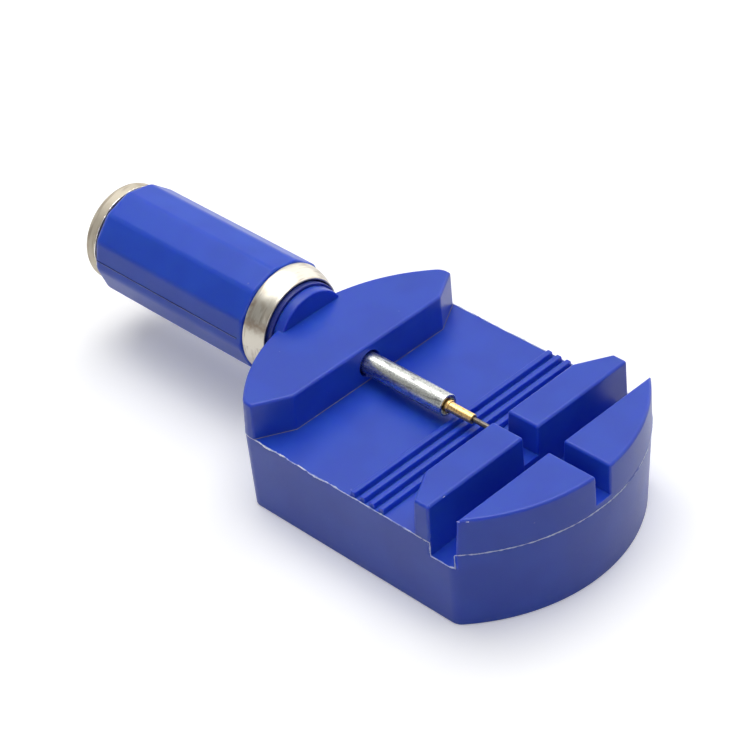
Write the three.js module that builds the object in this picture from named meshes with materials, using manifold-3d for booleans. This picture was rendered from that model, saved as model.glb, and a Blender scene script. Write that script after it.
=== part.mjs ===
// Watch link remover: a small bench tool that pushes the link pins out of a watch bracelet.
// The bracelet lies on the bed of the moulding, against the jaws. Turning the handle drives the
// spindle along its thread, and the push pin at its nose presses a link pin out through the slot.
//
// Frame: millimetres, +Z up, +X from the handle towards the jaws, +Y across the tool. The origin is
// on the underside, below the centre of the circle that rounds both ends of the moulding.
// The pieces are shown at rest: the handle screwed in until its ferrule nearly meets the moulding.

import * as THREE from "three";
import { mergeVertices } from "three/addons/utils/BufferGeometryUtils.js";
import Module from "manifold-3d";

// Plan of the moulding: a circle cut by two flats
const planDiameter = 58;
const bodyWidth = 42;
const planCornerRadius = 2.5;

// Heights of the moulding
const deckHeight = 13.3;
const blockHeight = 6;
const lowerDraftShare = 0.039;
const upperDraftShare = 0.023;

// Head block, bed and jaws, from the handle's side forwards
const headFaceX = -15.1;
const headFacetRun = 5.64;
const headFacetRecess = 3.14;
const bedLength = 25.2;
const jawThickness = 5.9;
const jawFacetRun = 5.46;
const jawFacetRecess = 3.07;
const crossSlotWidth = 4.25;
const crossSlotDepth = 2.4;
const pinSlotWidth = 2.75;
const pinSlotRise = 1;

// Low ribs on the bed that stop a bracelet from sliding
const bedRibCount = 4;
const bedRibPitch = 1.8;
const bedRibWidth = 1.3;
const bedRibHeight = 0.8;
const bedRibSetback = 3.4;
const bedRibEndInset = 0.12;

// Underside: cells between stiffening ribs
const wallThickness = 2.8;
const bedThickness = 5.3;
const stiffenerThickness = 1.8;
const stiffenerPitchX = 11;
const stiffenerPitchY = 10.6;

// Spindle line
const axisRise = 2.7;
const travel = 23.2;
const noseDiameter = 3.5;
const threadDiameter = 5;
const threadChamfer = 0.4;
const noseBoreClearance = 0.35;
const threadBoreClearance = 0.35;
const boreEndGap = 0.6;

// Tube and boss on the back of the moulding
const tubeWall = 1.95;
const seatInset = 0.3;
const bossReach = 1.75;
const bossStep = 0.4;

// Guide sleeve on the tube, and the nut that it traps
const sleeveWall = 2.3;
const sleeveLip = 0.9;
const sleeveChamfer = 0.4;
const guideOverlap = 3.5;
const nutAcrossFlats = 8;
const nutThickness = 4;

// Push pin and its holder
const pinDiameter = 0.8;
const pinReach = 5.9;
const pinSeatDepth = 4;
const pinTipLength = 0.25;
const pinTipDiameter = 0.4;
const tipEntry = 0.9;
const holderDiameter = 1.6;
const holderReach = 4.9;
const holderSeatDepth = 9;
const holderCollarStep = 0.25;
const holderCollarLength = 0.6;
const holderChamfer = 0.12;
const noseRecessDepth = 0.5;
const noseChamfer = 0.2;

// Grip
const gripSides = 12;
const gripWall = 0.6;
const gripEdgeBevel = 0.5;
const gripBoreClearance = 0.4;
const gripCornerAngle = 24.1;
const hubGap = 1;
const hubThickness = 5;
const capRecessDepth = 4.05;
const capRimWall = 1.6;

// Nickel ferrule at the front of the grip
const ferruleGap = 0.5;
const ferruleLength = 3.6;
const ferruleStep = 0.12;
const ferruleBandLength = 0.4;
const ferruleBulge = 0.16;
const ferruleLipWall = 0.3;
const ferruleLipChamfer = 0.12;
const ferruleSkirtWall = 0.6;
const ferruleSkirtLength = 3;

// Nickel end cap behind the grip
const capGap = 0.2;
const capLength = 2.85;
const capStep = 0.7;
const capWall = 0.6;
const capEdgeRadius = 1.1;
const capDome = 0.25;
const capSpigotLength = 2.2;

// Fixing of the spindle in the grip
const shankDiameter = 4;
const shankFlatWidth = 3.2;
const shankEndLength = 0.4;
const washerDiameter = 9;
const washerThickness = 0.8;
const lockNutAcrossFlats = 7;
const lockNutThickness = 2.2;

// Clearances between pieces
const pressClearance = 0.05;
const faceGap = 0.1;
const runningClearance = 0.2;

// Overrun of every cutting solid, and the numbers of steps round curves and sides round a nut
const cutOverrun = 3;
const roundSteps = 48;
const smallRoundSteps = 24;
const planArcSteps = 24;
const planCornerSteps = 4;
const profileArcSteps = 5;
const hexSides = 6;

// Places along the tool, worked out from the sizes
const planRadius = planDiameter / 2;
const blockTop = deckHeight + blockHeight;
const axisHeight = deckHeight + axisRise;
const jawRearX = headFaceX + bedLength;
const jawFrontX = jawRearX + jawThickness;
const outerJawX = jawFrontX + crossSlotWidth;
const rearApexX = -planRadius;
const seatX = rearApexX + seatInset;
const bossFrontX = seatX + bossReach;
const ferruleFrontX = rearApexX - ferruleGap;
const ferruleRearX = ferruleFrontX - ferruleLength;
const sleeveRearX = ferruleFrontX - travel - guideOverlap;
const nutRearX = sleeveRearX + sleeveLip + faceGap;
const nutFrontX = nutRearX + nutThickness;
const tubeRearX = nutFrontX + faceGap;
const threadFrontX = nutFrontX + travel;
const gripFrontX = ferruleRearX - faceGap;
const hubFrontX = sleeveRearX - hubGap;
const hubRearX = hubFrontX - hubThickness;
const gripRearX = hubRearX - capRecessDepth;
const tipX = jawRearX + tipEntry;
const holderEndX = tipX - pinReach;
const noseEndX = holderEndX - holderReach;

// Radii about the spindle line, from the inside out
const noseRadius = noseDiameter / 2;
const threadRadius = threadDiameter / 2;
const noseBoreRadius = noseRadius + noseBoreClearance;
const threadBoreRadius = threadRadius + threadBoreClearance;
const tubeRadius = threadBoreRadius + tubeWall;
const sleeveBoreRadius = tubeRadius + pressClearance;
const sleeveRadius = sleeveBoreRadius + sleeveWall;
const bossRadius = sleeveRadius - bossStep;
const ferruleBoreRadius = sleeveRadius + runningClearance;
const gripBoreRadius = sleeveRadius + gripBoreClearance;
const skirtRadius = gripBoreRadius + ferruleSkirtWall;
const skirtSeatRadius = skirtRadius + pressClearance;
const gripFlatRadius = skirtSeatRadius + gripWall;
const capRecessRadius = gripFlatRadius - capRimWall;
const holderRadius = holderDiameter / 2;
const holderBoreRadius = holderRadius + runningClearance;
const collarRadius = holderRadius + holderCollarStep;
const noseRecessRadius = collarRadius + runningClearance;

// Triangle meshes to solids and back

const wasm = await Module();
wasm.setup();

function solidOf(geometry) {
  const bare = geometry.clone();
  bare.deleteAttribute("normal");
  bare.deleteAttribute("uv");
  const merged = mergeVertices(bare);
  return new wasm.Manifold(
    new wasm.Mesh({
      numProp: 3,
      vertProperties: new Float32Array(merged.attributes.position.array),
      triVerts: new Uint32Array(merged.index.array),
    }),
  );
}

function geometryOf(solid) {
  const mesh = solid.getMesh();
  const geometry = new THREE.BufferGeometry();
  geometry.setAttribute("position", new THREE.BufferAttribute(mesh.vertProperties, 3));
  geometry.setIndex(new THREE.BufferAttribute(mesh.triVerts, 1));
  const flat = geometry.toNonIndexed();
  flat.computeVertexNormals();
  return flat;
}

function joined(first, ...others) {
  return others.reduce((sum, solid) => sum.add(solid), first);
}

function cut(first, ...others) {
  return others.reduce((rest, solid) => rest.subtract(solid), first);
}

// Basic forms

function arcPoints(centreX, centreY, radius, from, to, steps) {
  const curve = new THREE.EllipseCurve(centreX, centreY, radius, radius, from, to);
  return curve.getPoints(steps);
}

// A prism over an outline, whose sides lean out by `lean` for each millimetre of height above
// `levelZ`, where the outline holds true. A negative lean draws the sides in.
function draftedPrism(outline, lowZ, highZ, levelZ, lean) {
  const box = new THREE.Box2().setFromPoints(outline);
  const centre = box.getCenter(new THREE.Vector2());
  const half = box.getSize(new THREE.Vector2()).multiplyScalar(1 / 2);
  const depth = highZ - lowZ;
  const geometry = new THREE.ExtrudeGeometry(new THREE.Shape(outline), { depth, bevelEnabled: false });
  geometry.translate(0, 0, lowZ);
  const place = geometry.attributes.position;
  for (let i = 0; i < place.count; i += 1) {
    const growth = (place.getZ(i) - levelZ) * lean;
    place.setX(i, centre.x + ((place.getX(i) - centre.x) * (half.x + growth)) / half.x);
    place.setY(i, centre.y + ((place.getY(i) - centre.y) * (half.y + growth)) / half.y);
  }
  return solidOf(geometry);
}

function rectangle(lowX, highX, lowY, highY) {
  return [
    new THREE.Vector2(lowX, lowY),
    new THREE.Vector2(highX, lowY),
    new THREE.Vector2(highX, highY),
    new THREE.Vector2(lowX, highY),
  ];
}

// A solid turned about the X axis. The profile lists [x, radius] with x rising along the outside.
function turned(profile, steps = roundSteps) {
  const points = profile.map(([x, radius]) => new THREE.Vector2(radius, x));
  const geometry = new THREE.LatheGeometry(points, steps);
  geometry.rotateZ(-Math.PI / 2);
  return solidOf(geometry);
}

function rod(lowX, highX, radius, steps = roundSteps) {
  return turned(
    [
      [lowX, 0],
      [lowX, radius],
      [highX, radius],
      [highX, 0],
    ],
    steps,
  );
}

// A hexagonal prism along X, as wide across its flats as stated.
function hexPrism(lowX, highX, acrossFlats) {
  const cornerRadius = acrossFlats / 2 / Math.cos(Math.PI / hexSides);
  const geometry = new THREE.CylinderGeometry(cornerRadius, cornerRadius, highX - lowX, hexSides);
  geometry.rotateZ(-Math.PI / 2);
  geometry.translate((lowX + highX) / 2, 0, 0);
  return solidOf(geometry);
}

// A round rod with two flats, for a shank that must not turn in its hole.
function flattedRod(lowX, highX, radius, flatWidth) {
  const slab = new THREE.BoxGeometry(highX - lowX, radius * 2 + cutOverrun, flatWidth);
  slab.translate((lowX + highX) / 2, 0, 0);
  return rod(lowX, highX, radius, smallRoundSteps).intersect(solidOf(slab));
}

// Moulding: base, head block, bed, ribs, jaws, boss and tube

// The circle's ends and the flats, joined by rounded corners.
function planOutline(radius, halfWidth, cornerRadius) {
  const cornerY = halfWidth - cornerRadius;
  const cornerX = Math.sqrt((radius - cornerRadius) ** 2 - cornerY ** 2);
  const turn = Math.atan2(cornerY, cornerX);
  const quarter = Math.PI / 2;
  return [
    ...arcPoints(0, 0, radius, -turn, turn, planArcSteps),
    ...arcPoints(cornerX, cornerY, cornerRadius, turn, quarter, planCornerSteps).slice(1),
    ...arcPoints(-cornerX, cornerY, cornerRadius, quarter, Math.PI - turn, planCornerSteps),
    ...arcPoints(0, 0, radius, Math.PI - turn, Math.PI + turn, planArcSteps).slice(1),
    ...arcPoints(-cornerX, -cornerY, cornerRadius, Math.PI + turn, quarter * 3, planCornerSteps).slice(1),
    ...arcPoints(cornerX, -cornerY, cornerRadius, -quarter, -turn, planCornerSteps).slice(0, -1),
  ];
}

function bedCutter() {
  const side = bodyWidth / 2;
  const out = side + cutOverrun;
  const headSlope = headFacetRecess / headFacetRun;
  const jawSlope = jawFacetRecess / jawFacetRun;
  const headOutX = headFaceX - headFacetRecess - cutOverrun * headSlope;
  const jawOutX = jawRearX + jawFacetRecess + cutOverrun * jawSlope;
  const outline = [
    new THREE.Vector2(headFaceX, headFacetRun - side),
    new THREE.Vector2(headOutX, -out),
    new THREE.Vector2(jawOutX, -out),
    new THREE.Vector2(jawRearX, jawFacetRun - side),
    new THREE.Vector2(jawRearX, side - jawFacetRun),
    new THREE.Vector2(jawOutX, out),
    new THREE.Vector2(headOutX, out),
    new THREE.Vector2(headFaceX, side - headFacetRun),
  ];
  return draftedPrism(outline, deckHeight, blockTop + cutOverrun, deckHeight, upperDraftShare);
}

function slotCutters() {
  const out = bodyWidth / 2 + cutOverrun;
  const top = blockTop + cutOverrun;
  const crossFloor = deckHeight - crossSlotDepth;
  const pinFloor = deckHeight + pinSlotRise;
  const cross = rectangle(jawFrontX, outerJawX, -out, out);
  const along = rectangle(jawRearX - cutOverrun, planRadius + cutOverrun, -pinSlotWidth / 2, pinSlotWidth / 2);
  return [
    draftedPrism(cross, crossFloor, top, crossFloor, upperDraftShare),
    draftedPrism(along, pinFloor, top, pinFloor, upperDraftShare),
  ];
}

// One half-round rib across the bed, with its foot a little below the deck.
function bedRib(x) {
  const halfWidth = bedRibWidth / 2;
  const curve = new THREE.EllipseCurve(0, 0, halfWidth, bedRibHeight, 0, Math.PI);
  const profile = curve.getPoints(profileArcSteps + 1);
  profile.push(new THREE.Vector2(-halfWidth, -bedRibHeight), new THREE.Vector2(halfWidth, -bedRibHeight));
  const length = bodyWidth - bedRibEndInset * 2;
  const geometry = new THREE.ExtrudeGeometry(new THREE.Shape(profile), { depth: length, bevelEnabled: false });
  geometry.rotateX(Math.PI / 2);
  geometry.translate(x, length / 2, deckHeight);
  return solidOf(geometry);
}

// The hollow cells of the underside, between the walls and the stiffening ribs.
function undersideCells() {
  const innerRadius = planRadius - wallThickness;
  const innerHalfWidth = bodyWidth / 2 - wallThickness;
  const ceiling = deckHeight - bedThickness;
  const outline = planOutline(innerRadius, innerHalfWidth, planCornerRadius);
  let cells = draftedPrism(outline, -cutOverrun, ceiling, 0, 0);
  const height = (ceiling + cutOverrun) * 2;
  const countX = Math.floor(innerRadius / stiffenerPitchX);
  for (let i = -countX; i <= countX; i += 1) {
    const web = new THREE.BoxGeometry(stiffenerThickness, bodyWidth, height);
    web.translate(i * stiffenerPitchX, 0, 0);
    cells = cells.subtract(solidOf(web));
  }
  const countY = Math.floor(innerHalfWidth / stiffenerPitchY);
  for (let i = -countY; i <= countY; i += 1) {
    const web = new THREE.BoxGeometry(planDiameter, stiffenerThickness, height);
    web.translate(0, i * stiffenerPitchY, 0);
    cells = cells.subtract(solidOf(web));
  }
  return cells;
}

function onSpindleLine(solid) {
  return solid.translate([0, 0, axisHeight]);
}

function makeBody() {
  const outline = planOutline(planRadius, bodyWidth / 2, planCornerRadius);
  const lower = draftedPrism(outline, 0, deckHeight, deckHeight, lowerDraftShare);
  const upper = draftedPrism(outline, deckHeight, blockTop, deckHeight, -upperDraftShare);
  const blocks = cut(joined(lower, upper), bedCutter());
  const ribs = [];
  for (let i = 0; i < bedRibCount; i += 1) {
    ribs.push(bedRib(jawRearX - bedRibSetback - i * bedRibPitch));
  }
  const boss = rod(seatX, bossFrontX, bossRadius);
  const tube = rod(tubeRearX, bossFrontX, tubeRadius);
  const seatRadius = sleeveRadius + runningClearance;
  const seatCut = rod(seatX - seatInset - cutOverrun, seatX, seatRadius);
  const threadBore = rod(tubeRearX - cutOverrun, threadFrontX + boreEndGap, threadBoreRadius);
  const noseBore = rod(threadFrontX, headFaceX + cutOverrun, noseBoreRadius);
  const shell = cut(joined(blocks, ...ribs), ...slotCutters(), undersideCells(), onSpindleLine(seatCut));
  const fitted = joined(shell, onSpindleLine(boss), onSpindleLine(tube));
  return cut(fitted, onSpindleLine(threadBore), onSpindleLine(noseBore));
}

// Guide sleeve and trapped nut

function makeGuideSleeve() {
  const outer = turned([
    [sleeveRearX, 0],
    [sleeveRearX, sleeveRadius - sleeveChamfer],
    [sleeveRearX + sleeveChamfer, sleeveRadius],
    [seatX, sleeveRadius],
    [seatX, 0],
  ]);
  const tubeBore = rod(tubeRearX - faceGap, seatX + cutOverrun, sleeveBoreRadius);
  const nutPocket = hexPrism(sleeveRearX + sleeveLip, tubeRearX, nutAcrossFlats + pressClearance * 2);
  const threadBore = rod(sleeveRearX - cutOverrun, nutRearX, threadBoreRadius);
  return cut(outer, tubeBore, nutPocket, threadBore);
}

function makeSpindleNut() {
  const blank = hexPrism(nutRearX, nutFrontX, nutAcrossFlats);
  const bore = rod(nutRearX - cutOverrun, nutFrontX + cutOverrun, threadRadius + faceGap);
  return blank.subtract(bore);
}

// Spindle, push pin and pin holder

const hubClearRadius = shankDiameter / 2 + pressClearance;
const washerFrontX = hubRearX - faceGap;
const washerRearX = washerFrontX - washerThickness;
const lockNutFrontX = washerRearX - faceGap;
const lockNutRearX = lockNutFrontX - lockNutThickness;
const shankRearX = lockNutRearX - shankEndLength;
const threadRearX = hubFrontX + faceGap;

function makeSpindle() {
  const shankRadius = shankDiameter / 2;
  const body = turned([
    [shankRearX, 0],
    [shankRearX, shankRadius - threadChamfer],
    [shankRearX + threadChamfer, shankRadius],
    [hubRearX, shankRadius],
    [hubRearX, 0],
  ]);
  const flats = flattedRod(hubRearX - pressClearance, hubFrontX + pressClearance, shankRadius, shankFlatWidth);
  const front = turned([
    [hubFrontX, 0],
    [hubFrontX, shankRadius],
    [threadRearX, shankRadius],
    [threadRearX, threadRadius],
    [threadFrontX - threadChamfer, threadRadius],
    [threadFrontX, threadRadius - threadChamfer],
    [threadFrontX, noseRadius],
    [noseEndX - noseChamfer, noseRadius],
    [noseEndX, noseRadius - noseChamfer],
    [noseEndX, 0],
  ]);
  const holderBore = rod(
    noseEndX - holderSeatDepth - faceGap,
    noseEndX + cutOverrun,
    holderBoreRadius,
    smallRoundSteps,
  );
  const recess = rod(noseEndX - noseRecessDepth, noseEndX + cutOverrun, noseRecessRadius, smallRoundSteps);
  return cut(joined(body, flats, front), holderBore, recess);
}

function makePinHolder() {
  const boreRadius = pinDiameter / 2 + pressClearance;
  const collarRearX = noseEndX - noseRecessDepth + faceGap;
  const blank = turned(
    [
      [noseEndX - holderSeatDepth, 0],
      [noseEndX - holderSeatDepth, holderRadius],
      [collarRearX, holderRadius],
      [collarRearX, collarRadius],
      [noseEndX + holderCollarLength, collarRadius],
      [noseEndX + holderCollarLength, holderRadius],
      [holderEndX - holderChamfer, holderRadius],
      [holderEndX, holderRadius - holderChamfer],
      [holderEndX, 0],
    ],
    smallRoundSteps,
  );
  const bore = rod(holderEndX - pinSeatDepth - faceGap, holderEndX + cutOverrun, boreRadius, smallRoundSteps);
  return blank.subtract(bore);
}

function makePushPin() {
  const radius = pinDiameter / 2;
  return turned(
    [
      [holderEndX - pinSeatDepth, 0],
      [holderEndX - pinSeatDepth, radius],
      [tipX - pinTipLength, radius],
      [tipX, pinTipDiameter / 2],
      [tipX, 0],
    ],
    smallRoundSteps,
  );
}

// Grip and its two nickel ends

function makeGrip() {
  const cornerRadius = gripFlatRadius / Math.cos(Math.PI / gripSides);
  const corners = arcPoints(0, 0, cornerRadius, 0, Math.PI * 2, gripSides).slice(0, -1);
  const geometry = new THREE.ExtrudeGeometry(new THREE.Shape(corners), {
    depth: gripFrontX - gripRearX - gripEdgeBevel * 2,
    bevelThickness: gripEdgeBevel,
    bevelSize: gripEdgeBevel,
    bevelOffset: -gripEdgeBevel,
    bevelSegments: 2,
  });
  geometry.rotateY(Math.PI / 2);
  geometry.translate(gripRearX + gripEdgeBevel, 0, 0);
  const skirtSeatX = gripFrontX - ferruleSkirtLength;
  return cut(
    solidOf(geometry),
    rod(hubFrontX, gripFrontX + cutOverrun, gripBoreRadius),
    rod(skirtSeatX, gripFrontX + cutOverrun, skirtSeatRadius),
    rod(gripRearX - cutOverrun, hubRearX, capRecessRadius),
    flattedRod(
      hubRearX - cutOverrun,
      hubFrontX + cutOverrun,
      hubClearRadius,
      shankFlatWidth + pressClearance * 2,
    ),
  );
}

// The ferrule narrows from the grip to its lip as a cone that bulges a little at the middle.
function makeFerrule() {
  const rearRadius = gripFlatRadius - ferruleStep;
  const lipRadius = ferruleBoreRadius + ferruleLipWall;
  const skirtRearX = gripFrontX - ferruleSkirtLength + faceGap;
  const coneRearX = ferruleRearX + ferruleBandLength;
  const coneFrontX = ferruleFrontX - ferruleLipChamfer;
  const cone = [];
  for (let i = 0; i <= profileArcSteps; i += 1) {
    const share = i / profileArcSteps;
    const bulge = ferruleBulge * Math.sin(Math.PI * share);
    cone.push([
      coneRearX + (coneFrontX - coneRearX) * share,
      rearRadius + (lipRadius - rearRadius) * share + bulge,
    ]);
  }
  return turned([
    [skirtRearX, gripBoreRadius],
    [skirtRearX, skirtRadius],
    [ferruleRearX, skirtRadius],
    [ferruleRearX, rearRadius],
    ...cone,
    [ferruleFrontX, lipRadius - ferruleLipChamfer],
    [ferruleFrontX, ferruleBoreRadius],
    [ferruleRearX, ferruleBoreRadius],
    [ferruleRearX, gripBoreRadius],
    [skirtRearX, gripBoreRadius],
  ]);
}

// A shallow nickel cup: a rolled rim outside the grip and a spigot in the grip's recess.
function makeEndCap() {
  const radius = gripFlatRadius - capStep;
  const spigotRadius = capRecessRadius - pressClearance;
  const frontX = gripRearX - capGap;
  const rearX = frontX - capLength;
  const domeRadius = radius - capEdgeRadius;
  const dome = [];
  const edge = [];
  for (let i = 0; i < profileArcSteps; i += 1) {
    const share = i / profileArcSteps;
    dome.push([rearX - capDome * (1 - share ** 2), domeRadius * share]);
  }
  for (let i = 0; i <= profileArcSteps; i += 1) {
    const angle = (Math.PI / 2) * (i / profileArcSteps);
    edge.push([
      rearX + capEdgeRadius * (1 - Math.cos(angle)),
      radius - capEdgeRadius * (1 - Math.sin(angle)),
    ]);
  }
  return turned([
    ...dome,
    ...edge,
    [frontX, radius],
    [frontX, spigotRadius],
    [frontX + capSpigotLength, spigotRadius],
    [frontX + capSpigotLength, spigotRadius - capWall],
    [rearX + capWall, spigotRadius - capWall],
    [rearX + capWall, 0],
  ]);
}

// Washer and lock nut behind the hub

function makeHubWasher() {
  const blank = rod(washerRearX, washerFrontX, washerDiameter / 2);
  const hole = rod(washerRearX - cutOverrun, washerFrontX + cutOverrun, shankDiameter / 2 + faceGap);
  return blank.subtract(hole);
}

function makeLockNut() {
  const blank = hexPrism(lockNutRearX, lockNutFrontX, lockNutAcrossFlats);
  const hole = rod(lockNutRearX - cutOverrun, lockNutFrontX + cutOverrun, shankDiameter / 2 + faceGap);
  return blank.subtract(hole);
}

// Colours and finishes

const finishes = {
  bluePlastic: { color: 0x3f55c0, roughness: 0.45, metalness: 0 },
  navyPlastic: { color: 0x36448f, roughness: 0.5, metalness: 0 },
  nickel: { color: 0xd8d2c2, roughness: 0.22, metalness: 1 },
  zincPlate: { color: 0xbfc0c2, roughness: 0.35, metalness: 1 },
  brass: { color: 0xb98a45, roughness: 0.35, metalness: 1 },
  toolSteel: { color: 0x7c7a76, roughness: 0.3, metalness: 1 },
};

function piece(name, solid, finish) {
  const material = new THREE.MeshStandardMaterial({ name: `${name}_material`, ...finishes[finish] });
  const mesh = new THREE.Mesh(geometryOf(solid), material);
  mesh.name = name;
  return mesh;
}

// Assembly: the moulding stands on the ground, and the rest lies along the spindle line

const spindleLine = new THREE.Group();
spindleLine.position.z = axisHeight;
spindleLine.add(piece("guide_sleeve", makeGuideSleeve(), "navyPlastic"));
spindleLine.add(piece("spindle_nut", makeSpindleNut(), "zincPlate"));
spindleLine.add(piece("pin_holder", makePinHolder(), "brass"));
spindleLine.add(piece("push_pin", makePushPin(), "toolSteel"));

const handle = new THREE.Group();
handle.rotation.x = -THREE.MathUtils.degToRad(gripCornerAngle);
handle.add(piece("spindle", makeSpindle(), "zincPlate"));
handle.add(piece("grip", makeGrip(), "bluePlastic"));
handle.add(piece("front_ferrule", makeFerrule(), "nickel"));
handle.add(piece("end_cap", makeEndCap(), "nickel"));
handle.add(piece("hub_washer", makeHubWasher(), "zincPlate"));
handle.add(piece("lock_nut", makeLockNut(), "zincPlate"));
spindleLine.add(handle);

const tool = new THREE.Group();
tool.add(piece("body_moulding", makeBody(), "bluePlastic"));
tool.add(spindleLine);

export default tool;
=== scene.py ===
# %% [markdown]
# A watch link remover in blue plastic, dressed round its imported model.
#
# The tool presses the pins out of a watch bracelet. A plastic moulding holds the bracelet, and a
# twelve-sided handle drives a plated spindle whose thin pin does the pushing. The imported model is
# the fixed frame: every piece made here stands where its solid stands, and this lesson only gives
# the pieces rounded edges, moulding marks and finishes. It builds the camera first, then the
# finishes, then the pieces from the moulding outwards to the handle, and the studio last.

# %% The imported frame
import math

import bmesh
import bpy
from mathutils import Matrix, Vector


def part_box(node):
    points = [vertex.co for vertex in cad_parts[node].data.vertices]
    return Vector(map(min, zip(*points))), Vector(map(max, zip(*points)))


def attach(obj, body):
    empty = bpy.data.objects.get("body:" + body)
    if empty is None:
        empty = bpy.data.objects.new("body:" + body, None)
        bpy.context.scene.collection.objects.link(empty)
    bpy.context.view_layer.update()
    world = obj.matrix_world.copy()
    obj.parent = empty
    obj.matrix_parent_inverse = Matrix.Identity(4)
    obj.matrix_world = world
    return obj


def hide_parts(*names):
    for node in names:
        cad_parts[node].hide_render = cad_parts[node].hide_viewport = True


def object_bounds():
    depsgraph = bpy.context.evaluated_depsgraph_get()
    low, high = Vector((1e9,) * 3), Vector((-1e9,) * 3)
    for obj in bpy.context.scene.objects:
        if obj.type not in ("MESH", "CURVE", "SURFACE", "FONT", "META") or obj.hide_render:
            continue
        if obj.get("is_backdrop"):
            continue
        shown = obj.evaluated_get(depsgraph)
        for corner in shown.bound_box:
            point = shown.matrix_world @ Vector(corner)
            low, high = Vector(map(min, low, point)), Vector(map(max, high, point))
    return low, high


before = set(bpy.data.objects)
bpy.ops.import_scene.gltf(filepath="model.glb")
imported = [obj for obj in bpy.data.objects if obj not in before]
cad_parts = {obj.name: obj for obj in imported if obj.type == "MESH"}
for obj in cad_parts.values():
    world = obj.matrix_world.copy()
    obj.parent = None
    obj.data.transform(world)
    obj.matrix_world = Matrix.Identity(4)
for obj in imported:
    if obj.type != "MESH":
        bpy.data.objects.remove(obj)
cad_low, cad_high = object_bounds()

MM = 0.001

# %% [markdown]
# The camera stands where the photographer stood. Its direction, distance and focal length come
# from a pinhole camera fitted to the corners of the moulding. It is turned a little about its own
# line of sight, because the photograph's horizon isn't level. The frame is square.

# %% Camera
VIEW_AZIMUTH = math.radians(46.459)
VIEW_ELEVATION = math.radians(37.826)
VIEW_ROLL = math.radians(-4.21)
VIEW_DISTANCE = 400.016 * MM
VIEW_TARGET = Vector((-27.654, 12.633, 0)) * MM
VIEW_LENS = 124.218


def make_camera():
    level = math.cos(VIEW_ELEVATION)
    back = Vector((
        math.sin(VIEW_AZIMUTH) * level,
        -math.cos(VIEW_AZIMUTH) * level,
        math.sin(VIEW_ELEVATION),
    ))
    right = Vector((math.cos(VIEW_AZIMUTH), math.sin(VIEW_AZIMUTH), 0))
    up = back.cross(right)
    turned_right = right * math.cos(VIEW_ROLL) + up * math.sin(VIEW_ROLL)
    turned_up = up * math.cos(VIEW_ROLL) - right * math.sin(VIEW_ROLL)
    turn = Matrix((turned_right, turned_up, back)).transposed().to_4x4()
    camera = bpy.data.objects.new("camera", bpy.data.cameras.new("camera"))
    camera.data.lens = VIEW_LENS
    camera.data.clip_start = 10 * MM
    camera.matrix_world = Matrix.Translation(VIEW_TARGET + back * VIEW_DISTANCE) @ turn
    bpy.context.scene.collection.objects.link(camera)
    bpy.context.scene.camera = camera
    return camera


print("camera at", [round(c / MM) for c in make_camera().location], "mm")

# %% [markdown]
# Shader trees and Geometry Nodes trees are both nodes joined by links, so the same helpers serve
# both. One adds a node and fills its inputs: a socket is linked, and a plain value is typed in.
# The others add the nodes that every tree needs: sums, ranges, mixed colours and vectors.

# %% Node helpers
def node(tree, kind, inputs=None, **settings):
    made = tree.nodes.new(kind)
    for name, value in settings.items():
        setattr(made, name, value)
    for name, value in (inputs or {}).items():
        if isinstance(value, bpy.types.NodeSocket):
            tree.links.new(value, made.inputs[name])
        else:
            made.inputs[name].default_value = value
    return made


def output(tree, kind, inputs=None, **settings):
    """The first output of a new node."""
    return node(tree, kind, inputs, **settings).outputs[0]


def calc(tree, operation, *values, clamp=False):
    inputs = dict(enumerate(values))
    return output(tree, "ShaderNodeMath", inputs, operation=operation, use_clamp=clamp)


def plus(tree, first, second):
    return calc(tree, "ADD", first, second)


def minus(tree, first, second):
    return calc(tree, "SUBTRACT", first, second)


def times(tree, first, second):
    return calc(tree, "MULTIPLY", first, second)


def over(tree, first, second):
    return calc(tree, "DIVIDE", first, second)


def remap(tree, value, low, high, new_low=0.0, new_high=1.0, kind="LINEAR"):
    """Carries a value from one range to another, and stops at the ends of the range."""
    inputs = {
        "Value": value, "From Min": low, "From Max": high, "To Min": new_low, "To Max": new_high,
    }
    return output(tree, "ShaderNodeMapRange", inputs, interpolation_type=kind)


def ramp(tree, value, low, high):
    """0 where the value is at or below low, 1 where it is at or above high, smooth in between."""
    return remap(tree, value, low, high, kind="SMOOTHSTEP")


# A Mix node has sockets for each kind of value. These are the places of those for colours.
MIX_SHARE, MIX_FIRST, MIX_SECOND, MIX_RESULT = 0, 6, 7, 2


def mix_colours(tree, share, first, second):
    """The colour between two colours, which may be sockets or plain values."""
    inputs = {MIX_SHARE: share, MIX_FIRST: first, MIX_SECOND: second}
    return node(tree, "ShaderNodeMix", inputs, data_type="RGBA").outputs[MIX_RESULT]


def xyz(tree, **parts):
    return output(tree, "ShaderNodeCombineXYZ", parts)


FLOAT, VECTOR = "NodeSocketFloat", "NodeSocketVector"
GEOMETRY, MATERIAL = "NodeSocketGeometry", "NodeSocketMaterial"
SOCKET_TYPES = {float: FLOAT, int: "NodeSocketInt"}


def new_group(kind, name, inputs, outputs):
    """An empty node group. An input is given as its default value or as its socket type."""
    tree = bpy.data.node_groups.new(name, kind)
    for label, value in inputs.items():
        socket_type = SOCKET_TYPES.get(type(value), value)
        socket = tree.interface.new_socket(label, in_out="INPUT", socket_type=socket_type)
        if socket_type != value:
            socket.default_value = value
    for label, socket_type in outputs.items():
        tree.interface.new_socket(label, in_out="OUTPUT", socket_type=socket_type)
    return tree, tree.nodes.new("NodeGroupInput").outputs, tree.nodes.new("NodeGroupOutput").inputs


# %% [markdown]
# A moulded or turned surface is never quite flat. This group gives any finish its relief: a fine
# grain and a slow waviness, each with its own size and depth. It works in the object's own
# coordinates, so that the pattern stays on the piece when the piece moves.

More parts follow.
